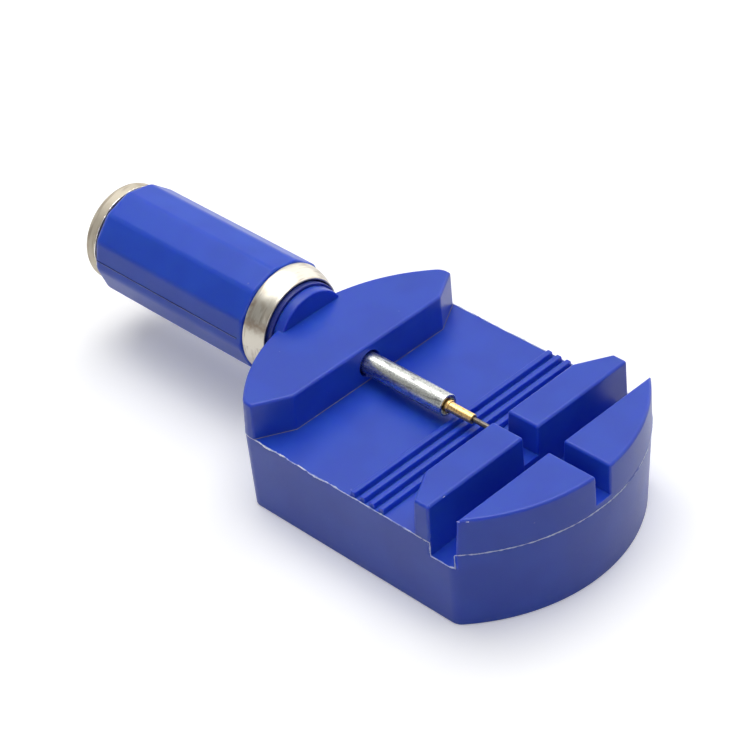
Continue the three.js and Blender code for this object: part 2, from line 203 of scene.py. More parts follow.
# %% Group: uneven surface
def make_uneven_group():
    inputs = {"Grain Size": 1 * MM, "Grain Depth": 0.0, "Wave Size": 1 * MM, "Wave Depth": 0.0}
    outputs = {"Normal": VECTOR, "Grain": FLOAT, "Wave": FLOAT}
    tree, given, result = new_group("ShaderNodeTree", "Uneven surface", inputs, outputs)
    place = node(tree, "ShaderNodeTexCoord").outputs["Object"]
    bump = {}  # the second bump starts from the normal of the first
    for label, detail in (("Wave", 1.0), ("Grain", 3.0)):
        scale = calc(tree, "DIVIDE", 1.0, given[label + " Size"])
        noise = {"Vector": place, "Scale": scale, "Detail": detail}
        height = output(tree, "ShaderNodeTexNoise", noise)
        tree.links.new(height, result[label])
        bump = {"Height": height, "Distance": given[label + " Depth"], "Strength": 1.0, **bump}
        bump = {"Normal": output(tree, "ShaderNodeBump", bump)}
    tree.links.new(bump["Normal"], result["Normal"])
    return tree


UNEVEN = make_uneven_group()


def add_uneven(tree, grain, wave):
    """The group's outputs, with the size and the depth of its grain and of its waves in mm."""
    names = ("Grain Size", "Grain Depth", "Wave Size", "Wave Depth")
    lengths = [length * MM for length in (*grain, *wave)]
    return node(tree, "ShaderNodeGroup", dict(zip(names, lengths)), node_tree=UNEVEN).outputs


# %% [markdown]
# Dust and small nicks show as sparse pale specks. A Voronoi texture puts one point in each cell,
# and only the cells whose random number is low enough keep theirs, so the specks are far apart and
# of different sizes.

# %% Group: specks
def make_specks_group():
    inputs = {"Spacing": 2 * MM, "Speck Radius": 0.1 * MM, "Kept Share": 0.1}
    tree, given, result = new_group("ShaderNodeTree", "Specks", inputs, {"Mask": FLOAT})
    place = node(tree, "ShaderNodeTexCoord").outputs["Object"]
    scale = over(tree, 1.0, given["Spacing"])
    cells = node(tree, "ShaderNodeTexVoronoi", {"Vector": place, "Scale": scale}).outputs
    chance = node(tree, "ShaderNodeSeparateColor", {"Color": cells["Color"]}).outputs
    kept = calc(tree, "LESS_THAN", chance["Red"], given["Kept Share"])
    radius = times(tree, times(tree, given["Speck Radius"], scale), chance["Green"])
    inside = calc(tree, "SUBTRACT", 1.0, over(tree, cells["Distance"], radius), clamp=True)
    tree.links.new(times(tree, inside, kept), result["Mask"])
    return tree


SPECKS = make_specks_group()


def add_specks(tree, spacing, radius, kept_share, strength):
    """The specks' mask, with their spacing and their largest radius in mm."""
    inputs = {"Spacing": spacing * MM, "Speck Radius": radius * MM, "Kept Share": kept_share}
    mask = output(tree, "ShaderNodeGroup", inputs, node_tree=SPECKS)
    return calc(tree, "MULTIPLY", mask, strength)


# %% [markdown]
# Every finish is a Principled shader in a material of its own. One helper starts it, with the
# numbers that are the same all over the surface typed into the shader's own sockets, and another
# links what varies.

# %% Starting a finish
def new_material(name, **numbers):
    material = bpy.data.materials.new(name)
    material.use_nodes = True
    shader = material.node_tree.nodes["Principled BSDF"]
    for label, value in numbers.items():
        shader.inputs[label.replace("_", " ")].default_value = value
    return material, material.node_tree, shader


def feed(tree, shader, **sockets):
    for label, socket in sockets.items():
        tree.links.new(socket, shader.inputs[label.replace("_", " ")])


# %% [markdown]
# The blue plastic is a glossy thermoplastic that light enters a little way, which is why the tops
# of its walls glow where they turn down from the light. Subsurface scattering gives that glow. The
# colour is a deep ultramarine with hardly any red, and the paler look of the tops is only the white
# room in its gloss. The grip is given a slightly brighter and less glossy copy of the blue, and the
# guide sleeve a much darker navy copy of it.

# %% Finishes: blue and navy plastic
BLUE = (0.014, 0.066, 0.52, 1)
BLUE_CLOUD = (0.016, 0.075, 0.56, 1)
BLUE_NICK = (0.16, 0.22, 0.62, 1)
GRIP_BLUE = (0.015, 0.078, 0.58, 1)
GRIP_CLOUD = (0.018, 0.088, 0.62, 1)
NAVY = (0.016, 0.030, 0.24, 1)
NAVY_CLOUD = (0.020, 0.038, 0.28, 1)
NAVY_NICK = (0.12, 0.16, 0.40, 1)
PLASTIC_IOR = 1.43
GRIP_IOR = 1.37


def make_plastic(name, deep, cloud, nick, ior):
    material, tree, shader = new_material(
        name, IOR=ior, Subsurface_Weight=1.0, Subsurface_Scale=1.3 * MM,
        Subsurface_Radius=(0.12, 0.20, 1.0),
    )
    uneven = add_uneven(tree, grain=(0.35, 0.003), wave=(7, 0.02))
    specks = add_specks(tree, spacing=2.2, radius=0.22, kept_share=0.12, strength=0.7)
    colour = mix_colours(tree, ramp(tree, uneven["Wave"], 0.35, 0.65), deep, cloud)
    feed(
        tree, shader, Base_Color=mix_colours(tree, specks, colour, nick),
        Roughness=remap(tree, uneven["Grain"], 0.0, 1.0, 0.27, 0.40), Normal=uneven["Normal"],
    )
    return material


blue_plastic = make_plastic("blue_plastic", BLUE, BLUE_CLOUD, BLUE_NICK, PLASTIC_IOR)
grip_plastic = make_plastic("grip_plastic", GRIP_BLUE, GRIP_CLOUD, BLUE_NICK, GRIP_IOR)
navy_plastic = make_plastic("navy_plastic", NAVY, NAVY_CLOUD, NAVY_NICK, PLASTIC_IOR)

# %% [markdown]
# The thin flash that squeezes out between the halves of a mould is stressed and scatters light, so
# it is much paler than the part. A seam with dirt in it is brown instead. The grip's step is given
# a pale finish that paints its highlight, and a dark one that paints the shade just below it.

# %% Finishes: flash, seam, and the painted highlight and shade of the grip's step
FLASH_PALE = (0.58, 0.64, 0.86, 1)
FLASH_BLUE = (0.10, 0.16, 0.60, 1)
# The near-white is the torn flash's colour, and on the jaws' edge burrs it paints their highlight.
FLASH_AND_HIGHLIGHT_WHITE = (0.86, 0.88, 0.96, 1)
SEAM_BROWN = (0.16, 0.10, 0.16, 1)
SEAM_GREY = (0.34, 0.28, 0.34, 1)
# The step's pale colour paints a highlight, and the two darkest colours paint the shade below it.
STEP_HIGHLIGHT_PALE = (0.28, 0.34, 0.68, 1)
STEP_SHADE_DARK = (0.010, 0.014, 0.10, 1)
STEP_SHADE_BLUE = (0.012, 0.03, 0.25, 1)


def make_flash_finish(name, dark, pale):
    material, tree, shader = new_material(name, IOR=1.47, Roughness=0.55)
    uneven = add_uneven(tree, grain=(0.5, 0.02), wave=(3, 0.01))
    colour = mix_colours(tree, ramp(tree, uneven["Wave"], 0.30, 0.55), dark, pale)
    feed(tree, shader, Base_Color=colour, Normal=uneven["Normal"])
    return material


mould_flash = make_flash_finish("mould_flash", FLASH_BLUE, FLASH_PALE)
flash_and_highlight_white = make_flash_finish("flash_and_highlight_white", FLASH_PALE, FLASH_AND_HIGHLIGHT_WHITE)
mould_seam = make_flash_finish("mould_seam", SEAM_BROWN, SEAM_GREY)
step_flash_and_highlight = make_flash_finish("step_flash_and_highlight", BLUE_NICK, STEP_HIGHLIGHT_PALE)
painted_step_shade = make_flash_finish("painted_step_shade", STEP_SHADE_DARK, STEP_SHADE_BLUE)

# %% [markdown]
# The two ends of the handle are pressed from thin sheet and plated with nickel, which is a warm
# white metal. Polishing leaves fine rings round the spindle line, rubbing leaves streaks, and
# handling leaves tarnish. The rings and streaks are noise drawn out round the spindle line: two of
# its coordinates are the place along the line and the distance from it, and the third is the angle
# times a length much less than the real radius, which stretches the noise seven to ten times.

# %% Finish: nickel
NICKEL = (0.61, 0.575, 0.50, 1)
NICKEL_BRIGHT = (0.92, 0.88, 0.80, 1)
NICKEL_DULL = (0.40, 0.34, 0.26, 1)
NICKEL_GREY = (0.52, 0.47, 0.38, 1)
NICKEL_STREAK = (0.33, 0.28, 0.22, 1)
TARNISH = (0.20, 0.14, 0.09, 1)
RING_STRETCH = 0.8 * MM
STREAK_STRETCH = 1.2 * MM
AXIS_HEIGHT = sum(corner.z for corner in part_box("spindle")) / 2


def axis_places(tree):
    """The place along the spindle line, the distance from it and the angle round it."""
    place = node(tree, "ShaderNodeTexCoord").outputs["Object"]
    split = node(tree, "ShaderNodeSeparateXYZ", {"Vector": place}).outputs
    height = calc(tree, "SUBTRACT", split["Z"], AXIS_HEIGHT)
    squares = [calc(tree, "POWER", part, 2.0) for part in (split["Y"], height)]
    radius = calc(tree, "SQRT", calc(tree, "ADD", *squares))
    return split["X"], radius, calc(tree, "ARCTAN2", height, split["Y"])


def line_noise(tree, x, y, z, per_mm, detail):
    inputs = {"Vector": xyz(tree, X=x, Y=y, Z=z), "Scale": per_mm / MM, "Detail": detail}
    return output(tree, "ShaderNodeTexNoise", inputs)


def make_nickel(name, clean, dull, dull_share, streaks, roughness, ring_depth, grain_depth):
    """Nickel, with the range of noise that shows as streaks, and its depths in mm."""
    material, tree, shader = new_material(name, Metallic=1.0)
    along, radius, angle = axis_places(tree)
    ring_place = along, radius, times(tree, angle, RING_STRETCH)
    streak_place = along, radius, times(tree, angle, STREAK_STRETCH)
    rings = line_noise(tree, *ring_place, per_mm=6.0, detail=2.0)
    rubbed = line_noise(tree, *streak_place, per_mm=1.8, detail=3.0)
    uneven = add_uneven(tree, grain=(0.32, grain_depth), wave=(2.5, 0.02))
    dulled = times(tree, ramp(tree, uneven["Wave"], 0.50, 0.78), dull_share)
    colour = mix_colours(tree, dulled, clean, dull)
    specks = add_specks(tree, spacing=1.1, radius=0.35, kept_share=0.10, strength=0.6)
    colour = mix_colours(tree, specks, colour, TARNISH)
    worn = times(tree, ramp(tree, rubbed, *streaks), 0.75)
    colour = mix_colours(tree, worn, colour, NICKEL_STREAK)
    relief = {"Height": rings, "Distance": ring_depth * MM, "Normal": uneven["Normal"]}
    feed(
        tree, shader, Base_Color=colour, Roughness=remap(tree, rings, 0.0, 1.0, *roughness),
        Normal=output(tree, "ShaderNodeBump", relief),
    )
    return material


ferrule_nickel = make_nickel(
    "ferrule_nickel", NICKEL, NICKEL_DULL, 0.75, streaks=(0.50, 0.70), roughness=(0.24, 0.42),
    ring_depth=0.012, grain_depth=0.006,
)
brushed_nickel = make_nickel(
    "brushed_nickel", NICKEL_GREY, NICKEL_DULL, 0.9, streaks=(0.48, 0.70), roughness=(0.50, 0.68),
    ring_depth=0.014, grain_depth=0.035,
)
bright_nickel = make_nickel(
    "bright_nickel", NICKEL_BRIGHT, NICKEL, 0.5, streaks=(0.60, 0.80), roughness=(0.20, 0.38),
    ring_depth=0.004, grain_depth=0.01,
)

# %% [markdown]
# The ferrule has a brown stain across it at one place of its turn, with ragged sides, and a second
# one along its rear edge beside the first.

# %% Stain on the ferrule
STAIN_BROWN = (0.42, 0.34, 0.27, 1)
STAIN_ANGLE = math.radians(155)
STAIN_HALF_TURN = math.radians(9)
STAIN_RAGGEDNESS = 0.25
STAIN_EDGE_ANGLE = math.radians(142)
STAIN_EDGE_TURN = math.radians(16)
STAIN_EDGE_X = -32.0 * MM


def add_stain(material):
    tree = material.node_tree
    along, _, angle = axis_places(tree)
    blots = add_uneven(tree, grain=(0.5, 0), wave=(1.1, 0))
    ragged = plus(tree, angle, times(tree, minus(tree, blots["Grain"], 0.5), STAIN_RAGGEDNESS))

    def near(angle, middle, half_turn, edge):
        away = calc(tree, "ABSOLUTE", minus(tree, angle, middle))
        return ramp(tree, minus(tree, half_turn, away), 0.0, edge)

    across = near(ragged, STAIN_ANGLE, STAIN_HALF_TURN, STAIN_HALF_TURN)
    beside = near(angle, STAIN_EDGE_ANGLE, STAIN_EDGE_TURN, STAIN_EDGE_TURN / 2)
    rear_edge = ramp(tree, minus(tree, STAIN_EDGE_X, along), 0.0, 0.5 * MM)
    share = calc(tree, "MAXIMUM", across, times(tree, beside, rear_edge))
    share = times(tree, share, ramp(tree, blots["Wave"], 0.25, 0.55))
    shader = tree.nodes["Principled BSDF"]
    clean = shader.inputs["Base Color"].links[0].from_socket
    feed(tree, shader, Base_Color=mix_colours(tree, share, clean, STAIN_BROWN))


add_stain(ferrule_nickel)

# %% [markdown]
# The spindle, its nut, the washer and the lock nut are steel with a dull zinc plating, which has a
# crystalline grain, and the spindle has scratches drawn out along it as well. The pin holder is
# drawn brass, and the push pin is bare tool steel.

# %% Finishes: zinc plate, brass and tool steel
ZINC = (0.66, 0.67, 0.70, 1)
ZINC_GREY = (0.36, 0.37, 0.40, 1)
PLATE_PALE = (0.70, 0.72, 0.68, 1)
PLATE_GREY = (0.42, 0.43, 0.42, 1)
PLATE_DARK = (0.12, 0.12, 0.13, 1)
BRASS = (0.92, 0.60, 0.24, 1)
BRASS_BROWN = (0.42, 0.24, 0.09, 1)
STEEL = (0.22, 0.19, 0.16, 1)
STEEL_DARK = (0.09, 0.075, 0.06, 1)
NOSE_RADIUS = 1.75 * MM
SCRATCH_STRETCH = 0.18


def make_metal(name, clean, dirty, grain, roughness):
    material, tree, shader = new_material(name, Metallic=1.0)
    uneven = add_uneven(tree, grain, wave=(1.6, 0.01))
    feed(
        tree, shader, Normal=uneven["Normal"],
        Base_Color=mix_colours(tree, ramp(tree, uneven["Grain"], 0.44, 0.72), clean, dirty),
        Roughness=remap(tree, uneven["Wave"], 0.3, 0.7, *roughness),
    )
    return material


def make_plated_bar():
    material, tree, shader = new_material("plated_bar", Metallic=1.0)
    along, radius, angle = axis_places(tree)
    along, round_bar = times(tree, along, SCRATCH_STRETCH), times(tree, angle, NOSE_RADIUS)
    scratches = line_noise(tree, along, round_bar, radius, per_mm=3.2, detail=4.0)
    uneven = add_uneven(tree, grain=(0.22, 0.014), wave=(1.4, 0.018))
    colour = mix_colours(tree, ramp(tree, uneven["Grain"], 0.40, 0.70), PLATE_PALE, PLATE_GREY)
    marks = times(tree, ramp(tree, scratches, 0.54, 0.70), 0.7)
    relief = {"Height": scratches, "Distance": 0.02 * MM, "Normal": uneven["Normal"]}
    feed(
        tree, shader, Base_Color=mix_colours(tree, marks, colour, PLATE_DARK),
        Roughness=remap(tree, scratches, 0.3, 0.7, 0.20, 0.36),
        Normal=output(tree, "ShaderNodeBump", relief),
    )
    return material


plated_bar = make_plated_bar()
zinc_plate = make_metal("zinc_plate", ZINC, ZINC_GREY, grain=(0.16, 0.008), roughness=(0.26, 0.40))
brass = make_metal("brass", BRASS, BRASS_BROWN, grain=(0.25, 0.004), roughness=(0.24, 0.36))
tool_steel = make_metal("tool_steel", STEEL, STEEL_DARK, grain=(0.2, 0.004), roughness=(0.25, 0.38))

# %% [markdown]
# Each piece ends the same way: it gets its finish, rides on its body and stands for the solids that
# it replaces. Smooth shading that stops at sharp angles, with the normals weighted by face area,
# keeps flat faces flat between their rounded edges.

# %% Settling a piece
SHARP_ANGLE = math.radians(38)
FLAT_ANGLE = math.radians(0.05)
MERGE_DISTANCE = 0.001 * MM


def new_object(name, mesh):
    piece = bpy.data.objects.new(name, mesh)
    bpy.context.scene.collection.objects.link(piece)
    return piece


def object_from(name, shape):
    """A new object with the faces of a bmesh."""
    mesh = bpy.data.meshes.new(name)
    shape.to_mesh(mesh)
    shape.free()
    return new_object(name, mesh)


def clean_up(piece):
    """Joins what lies together and makes flat faces whole, after several cuts and joins."""
    shape = bmesh.new()
    shape.from_mesh(piece.data)
    bmesh.ops.remove_doubles(shape, verts=shape.verts, dist=MERGE_DISTANCE)
    bmesh.ops.dissolve_degenerate(shape, dist=MERGE_DISTANCE, edges=shape.edges)
    bmesh.ops.dissolve_limit(shape, angle_limit=FLAT_ANGLE, verts=shape.verts, edges=shape.edges)
    shape.to_mesh(piece.data)
    shape.free()


def keep_flats_flat(piece):
    piece.data.shade_smooth()
    piece.data.set_sharp_from_angle(angle=SHARP_ANGLE)
    piece.modifiers.new("flat faces stay flat", "WEIGHTED_NORMAL").keep_sharp = True


def settle(piece, finish, body, slot, *nodes):
    piece.data.materials.clear()
    piece.data.materials.append(finish)
    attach(piece, body)
    if nodes:
        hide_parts(*nodes)
    print(piece.name, "on", body, len(piece.data.polygons), "faces")


# %% [markdown]
# Two helpers draw in the plane, and serve the moulding's outlines and the turned profiles alike. A
# third puts a skin of faces over a row of rings.

# %% Arcs and rings
def arc(centre, radius, start, end, steps):
    """Points from one angle to the other, both included."""
    angles = [start + (end - start) * i / steps for i in range(steps + 1)]
    return [
        Vector((centre[0] + radius * math.cos(a), centre[1] + radius * math.sin(a))) for a in angles
    ]


def corner_arc(before, here, after, rounding, steps):
    """The arc that rounds the corner between two other points."""
    back = (before - here).normalized()
    ahead = (after - here).normalized()
    half = back.angle(ahead) / 2
    centre = here + (back + ahead).normalized() * rounding / math.sin(half)
    first = here + back * rounding / math.tan(half) - centre
    final = here + ahead * rounding / math.tan(half) - centre
    start = math.atan2(first.y, first.x)
    sweep = (math.atan2(final.y, final.x) - start + math.pi) % (2 * math.pi) - math.pi
    return arc(centre, rounding, start, start + sweep, steps)


def skin(shape, rings, closed=False):
    """Faces from each ring to the next. A ring of one vertex is a point on the axis."""
    count = max(len(ring) for ring in rings)
    for one, two in zip(rings, rings[1:] + (rings[:1] if closed else [])):
        for k in range(count):
            n = (k + 1) % count
            corners = [one[k % len(one)], one[n % len(one)], two[n % len(two)], two[k % len(two)]]
            shape.faces.new(list(dict.fromkeys(corners)))


# %% [markdown]
# The round pieces are turned on a lathe about the spindle line. A profile lists each corner as its
# place along the line, its radius and how much it is rounded, and the helper rounds the corners
# with arcs before it spins the profile.

# %% Lathe
ROUNDING_STEPS = 4
TURN_STEPS = 128
SMALL_TURN_STEPS = 64
ON_AXIS = 1e-9


def around(x, radius, angle):
    """The point at a place along the spindle line, a distance from it and an angle round it."""
    return Vector((x, radius * math.cos(angle), AXIS_HEIGHT + radius * math.sin(angle)))


def rounded_profile(corners, closed):
    points = []
    for i, (x, radius, rounding) in enumerate(corners):
        here = Vector((x, radius))
        if rounding == 0 or (not closed and i in (0, len(corners) - 1)):
            points.append(here)
        else:
            before, after = corners[i - 1][:2], corners[(i + 1) % len(corners)][:2]
            points += corner_arc(Vector(before), here, Vector(after), rounding, ROUNDING_STEPS)
    return points


def turned(name, corners, closed=False, steps=TURN_STEPS):
    """A solid of revolution. A profile that isn't closed starts and ends on the line."""
    shape = bmesh.new()
    rings = []
    for x, radius in rounded_profile(corners, closed):
        count = steps if radius > ON_AXIS else 1
        rings.append([
            shape.verts.new(around(x, radius, 2 * math.pi * k / steps)) for k in range(count)
        ])
    skin(shape, rings, closed)
    bmesh.ops.recalc_face_normals(shape, faces=shape.faces)
    piece = object_from(name, shape)
    keep_flats_flat(piece)
    return piece


# %% [markdown]
# The moulding is built from solid blocks. Each is a stack of outlines, so its walls can lean a
# little, as the walls of every moulded part do to leave the mould: they are widest at the height of
# the bed. The upright corners are rounded in the outline, and the top edge by a few last rings that
# draw in along a quarter circle. That keeps every rounding even, which a bevel on the finished
# shape can't do where a wall meets the plan's small corners.

# %% Outlines
body_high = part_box("body_moulding")[1]
PLAN_RADIUS = body_high.x
HALF_WIDTH = body_high.y
PLAN_CORNER_RADIUS = 2.5 * MM
DECK_HEIGHT = 13.3 * MM
BLOCK_TOP = 19.3 * MM
LOWER_DRAFT = 0.039
UPPER_DRAFT = 0.023
CORNER_STEPS = 6
LEAST_ROUNDING = 0.02 * MM
END_ARC_STEPS = 64


def drawn_in(outline, distance):
    """The outline moved inwards by the same distance all round. It runs anticlockwise."""
    points = []
    for i, here in enumerate(outline):
        before = (here - outline[i - 1]).normalized()
        after = (outline[(i + 1) % len(outline)] - here).normalized()
        inwards = Vector((-before.y - after.y, before.x + after.x))
        points.append(here + inwards * distance / (1 + before.dot(after)))
    return points


def softened(corners, inset=0.0):
    """A closed outline, drawn in and then rounded. A corner is x, y and how much it is rounded."""
    places = drawn_in([Vector(corner[:2]) for corner in corners], inset)
    points = []
    for i, here in enumerate(places):
        if corners[i][2] == 0:
            points.append(here)
        else:
            rounding = max(corners[i][2] - inset, LEAST_ROUNDING)
            after = places[(i + 1) % len(places)]
            points += corner_arc(places[i - 1], here, after, rounding, CORNER_STEPS)
    return points


def flipped(outline, x=1, y=1):
    """An outline mirrored in x, in y or in both, still running anticlockwise."""
    points = [Vector((p.x * x, p.y * y)) for p in outline]
    return points if x == y else points[::-1]


def plan_corner(radius, half_width, corner_radius):
    """The centre of the plan's front left corner, and the angle where the end's circle meets it."""
    y = half_width - corner_radius
    x = math.sqrt((radius - corner_radius) ** 2 - y**2)
    return x, y, math.atan2(y, x)


def plan_outline(radius, half_width, corner_radius):
    """A circle cut by two flats, with rounded corners."""
    x, y, turn = plan_corner(radius, half_width, corner_radius)
    end = arc((0, 0), radius, -turn, turn, END_ARC_STEPS)
    corner = arc((x, y), corner_radius, turn, math.pi / 2, CORNER_STEPS)[1:]
    left = corner + flipped(corner, x=-1)
    return end + left + flipped(end, x=-1) + flipped(left, x=-1, y=-1)


def lean(z):
    """How far the outer walls stand in from the line where they are widest."""
    return LOWER_DRAFT * (DECK_HEIGHT - z) if z < DECK_HEIGHT else UPPER_DRAFT * (z - DECK_HEIGHT)


PLAN = plan_outline(PLAN_RADIUS, HALF_WIDTH, PLAN_CORNER_RADIUS)
print("plan:", len(PLAN), "points, lean", round(lean(0) / MM, 2), "mm at the foot")

# %% [markdown]
# A block is such a stack of outlines, closed at its foot and at its top. The blocks are then joined
# to the moulding, or cut away from it, one after the other.

# %% Blocks
EDGE_STEPS = 4


def rounded_top(top, rounding):
    """Heights near a rounded top edge, each with how far the outline draws in there."""
    angles = [math.pi / 2 * i / EDGE_STEPS for i in range(EDGE_STEPS + 1)]
    return [(top - rounding * (1 - math.sin(a)), rounding * (1 - math.cos(a))) for a in angles]


def block(name, outline_at, levels):
    """A solid through the outlines at some heights, each with how far it is drawn in there."""
    shape = bmesh.new()
    rings = []
    for z, inset in levels:
        rings.append([shape.verts.new((p.x, p.y, z)) for p in outline_at(z, inset)])
    skin(shape, rings)
    shape.faces.new(list(reversed(rings[0])))
    shape.faces.new(rings[-1])
    return object_from(name, shape)


def box_block(name, low, high):
    corners = ((low[0], low[1]), (high[0], low[1]), (high[0], high[1]), (low[0], high[1]))
    outline = [Vector(corner) for corner in corners]
    return block(name, lambda z, inset: outline, [(low[2], 0), (high[2], 0)])


def combine(piece, other, operation):
    """Joins another mesh to a piece or cuts it away, for good, and removes it."""
    change = piece.modifiers.new(operation, "BOOLEAN")
    change.object = other
    change.operation = operation
    bpy.context.view_layer.update()
    graph = bpy.context.evaluated_depsgraph_get()
    mesh = bpy.data.meshes.new_from_object(piece.evaluated_get(graph), depsgraph=graph)
    piece.modifiers.clear()
    piece.data = mesh
    bpy.data.objects.remove(other)


# %% [markdown]
# The base is a plain block up to the bed. In front of the bed it stops at the floor of the cross
# slot, because the jaws stand there as blocks of their own. Underneath it is hollow, with webs.

# %% Base
FOOT_ROUNDING = 0.20 * MM
DECK_ROUNDING = 0.08 * MM
SLOT_FLOOR = 10.9 * MM
JAW_SEAM_X = 15.4 * MM
SUNK = 0.3 * MM
OVERRUN = 3 * MM
WALL = 2.8 * MM
CEILING = 8.0 * MM
WEB_HALF = 0.9 * MM
WEB_PITCH_X = 11 * MM
WEB_PITCH_Y = 10.6 * MM
CROSS_WEB_HEIGHTS = (0.02 * MM, CEILING + SUNK)
LONG_WEB_HEIGHTS = (0.03 * MM, CEILING + SUNK * 1.1)


def outer_wall(z, inset):
    return drawn_in(PLAN, lean(z) + inset)


def web_boxes():
    """The webs' corners, low and high. Those that cross differ in height, so no faces coincide."""
    foot, top = CROSS_WEB_HEIGHTS
    for x in [i * WEB_PITCH_X for i in (-2, -1, 0, 1, 2)]:
        y = min(math.sqrt(PLAN_RADIUS**2 - x**2), HALF_WIDTH) - WALL / 2 - WEB_HALF
        yield (x - WEB_HALF, -y, foot), (x + WEB_HALF, y, top)
    foot, top = LONG_WEB_HEIGHTS
    for y in [i * WEB_PITCH_Y for i in (-1, 0, 1)]:
        x = math.sqrt(PLAN_RADIUS**2 - y**2) - WALL / 2 - WEB_HALF
        yield (-x, y - WEB_HALF, foot), (x, y + WEB_HALF, top)


def make_base():
    foot = [
        (FOOT_ROUNDING - z, inset)
        for z, inset in reversed(rounded_top(FOOT_ROUNDING, FOOT_ROUNDING))
    ]
    base = block("moulding", outer_wall, foot + rounded_top(DECK_HEIGHT, DECK_ROUNDING))
    low = (JAW_SEAM_X, -HALF_WIDTH - OVERRUN, SLOT_FLOOR)
    high = (PLAN_RADIUS + OVERRUN, HALF_WIDTH + OVERRUN, BLOCK_TOP)
    combine(base, box_block("front cut", low, high), "DIFFERENCE")
    inner = plan_outline(PLAN_RADIUS - WALL, HALF_WIDTH - WALL, PLAN_CORNER_RADIUS)
    hollow = block("hollow", lambda z, inset: inner, [(-OVERRUN, 0), (CEILING, 0)])
    combine(base, hollow, "DIFFERENCE")
    for low, high in web_boxes():
        combine(base, box_block("web", low, high), "UNION")
    return base


moulding = make_base()
print("base:", len(moulding.data.polygons), "faces")

# %% [markdown]
# The head carries the spindle. Its front face is flat in the middle and falls back in a facet at
# each side, and the jaws' rear faces do the same, so that a bracelet can be laid in at a slant.

# %% Head block
HEAD_FACE_X = -15.1 * MM
HEAD_FACET_RUN = 5.64 * MM
HEAD_FACET_RECESS = 3.14 * MM
UPRIGHT_ROUNDING = 0.45 * MM
FACET_ROUNDING = 0.9 * MM
TOP_ROUNDING = 0.45 * MM
ROOT_INSET = 0.05 * MM
CORNER_START = math.pi / 2 + 0.05


def head_corners():
    x, y, turn = plan_corner(PLAN_RADIUS, HALF_WIDTH, PLAN_CORNER_RADIUS)
    corner = arc((-x, y), PLAN_CORNER_RADIUS, CORNER_START, math.pi - turn, CORNER_STEPS)
    end = arc((0, 0), PLAN_RADIUS, math.pi - turn, math.pi + turn, END_ARC_STEPS)[1:-1]
    left = [
        (HEAD_FACE_X, HALF_WIDTH - HEAD_FACET_RUN, FACET_ROUNDING),
        (HEAD_FACE_X - HEAD_FACET_RECESS, HALF_WIDTH, UPRIGHT_ROUNDING),
        *[(p.x, p.y, 0) for p in corner],
    ]
    right = [(x, -y, rounding) for x, y, rounding in reversed(left)]
    return left + [(p.x, p.y, 0) for p in end] + right


HEAD = head_corners()


def head_wall(z, inset):
    return softened(HEAD, UPPER_DRAFT * max(z - DECK_HEIGHT, 0) + inset)


BLOCK_EDGE = rounded_top(BLOCK_TOP, TOP_ROUNDING)
head_levels = [(DECK_HEIGHT - SUNK, ROOT_INSET), (DECK_HEIGHT, 0), *BLOCK_EDGE]
combine(moulding, block("head", head_wall, head_levels), "UNION")

# %% [markdown]
# The two jaws are each split by the slot for the pin and joined again below its floor by a low bar.
# Between them runs the cross slot. Their outlines are worked out anew at each height, because the
# walls of the slots lean the other way. The bars lie inside the jaws' walls by a hair, so that no
# faces coincide, and where a bar fills the outer jaw's corner the corner is sharp.

# %% Jaws
JAW_REAR_X = 10.1 * MM
JAW_FACET_RUN = 5.46 * MM
JAW_FACET_RECESS = 3.07 * MM
SLOT_REAR_X = 16.0 * MM
SLOT_FRONT_X = 20.25 * MM
PIN_SLOT_HALF = 1.375 * MM
PIN_FLOOR = 14.3 * MM
PIN_SLOT_ROUNDING = 0.35 * MM
TIP_ROUNDING = 0.16 * MM
ARC_START = 0.5 * MM
ARC_END = math.radians(42.0)
SKIN = 0.02 * MM
BAR_SKIN = 0.04 * MM
OUTER_BAR_SKIN = 0.008 * MM
BAR_HALF = 2.0 * MM


def slot_walls(z):
    """The x of the cross slot's two walls, and half the pin slot's width, at a height."""
    spread = UPPER_DRAFT * (z - SLOT_FLOOR)
    gap = PIN_SLOT_HALF + UPPER_DRAFT * (z - PIN_FLOOR)
    return SLOT_REAR_X - spread, SLOT_FRONT_X + spread, gap


def inner_jaw(z, inset):
    front, _, gap = slot_walls(z)
    side = HALF_WIDTH - lean(z)
    rear = JAW_REAR_X + UPPER_DRAFT * max(z - DECK_HEIGHT, 0)
    return softened([
        (rear, gap, PIN_SLOT_ROUNDING),
        (front, gap, PIN_SLOT_ROUNDING),
        (front, side, UPRIGHT_ROUNDING),
        (rear + JAW_FACET_RECESS, side, UPRIGHT_ROUNDING),
        (rear, side - JAW_FACET_RUN, FACET_ROUNDING),
    ], inset)


def jaw_tip(z):
    """The sharp left end of the outer jaw, where its wall would meet the end's curve."""
    wall = slot_walls(z)[1]
    radius = PLAN_RADIUS - lean(z)
    rise = (radius * math.cos(ARC_END) - wall) / math.tan(ARC_END)
    return Vector((wall, radius * math.sin(ARC_END) + rise, z))


def outer_jaw(z, inset):
    _, wall, gap = slot_walls(z)
    radius = PLAN_RADIUS - lean(z)
    end = arc((0, 0), radius, (gap + ARC_START) / radius, ARC_END, END_ARC_STEPS // 2)
    front_rounding = PIN_SLOT_ROUNDING if z >= PIN_FLOOR else LEAST_ROUNDING
    return softened([
        (wall, gap, PIN_SLOT_ROUNDING),
        (math.sqrt(radius**2 - gap**2), gap, front_rounding),
        *[(p.x, p.y, 0) for p in end],
        (*jaw_tip(z).xy, TIP_ROUNDING),
    ], inset)


def inner_bar(z, inset):
    front = slot_walls(z)[0] - BAR_SKIN
    rear = JAW_REAR_X + BAR_SKIN
    corners = ((rear, -BAR_HALF), (front, -BAR_HALF), (front, BAR_HALF), (rear, BAR_HALF))
    return [Vector(corner) for corner in corners]


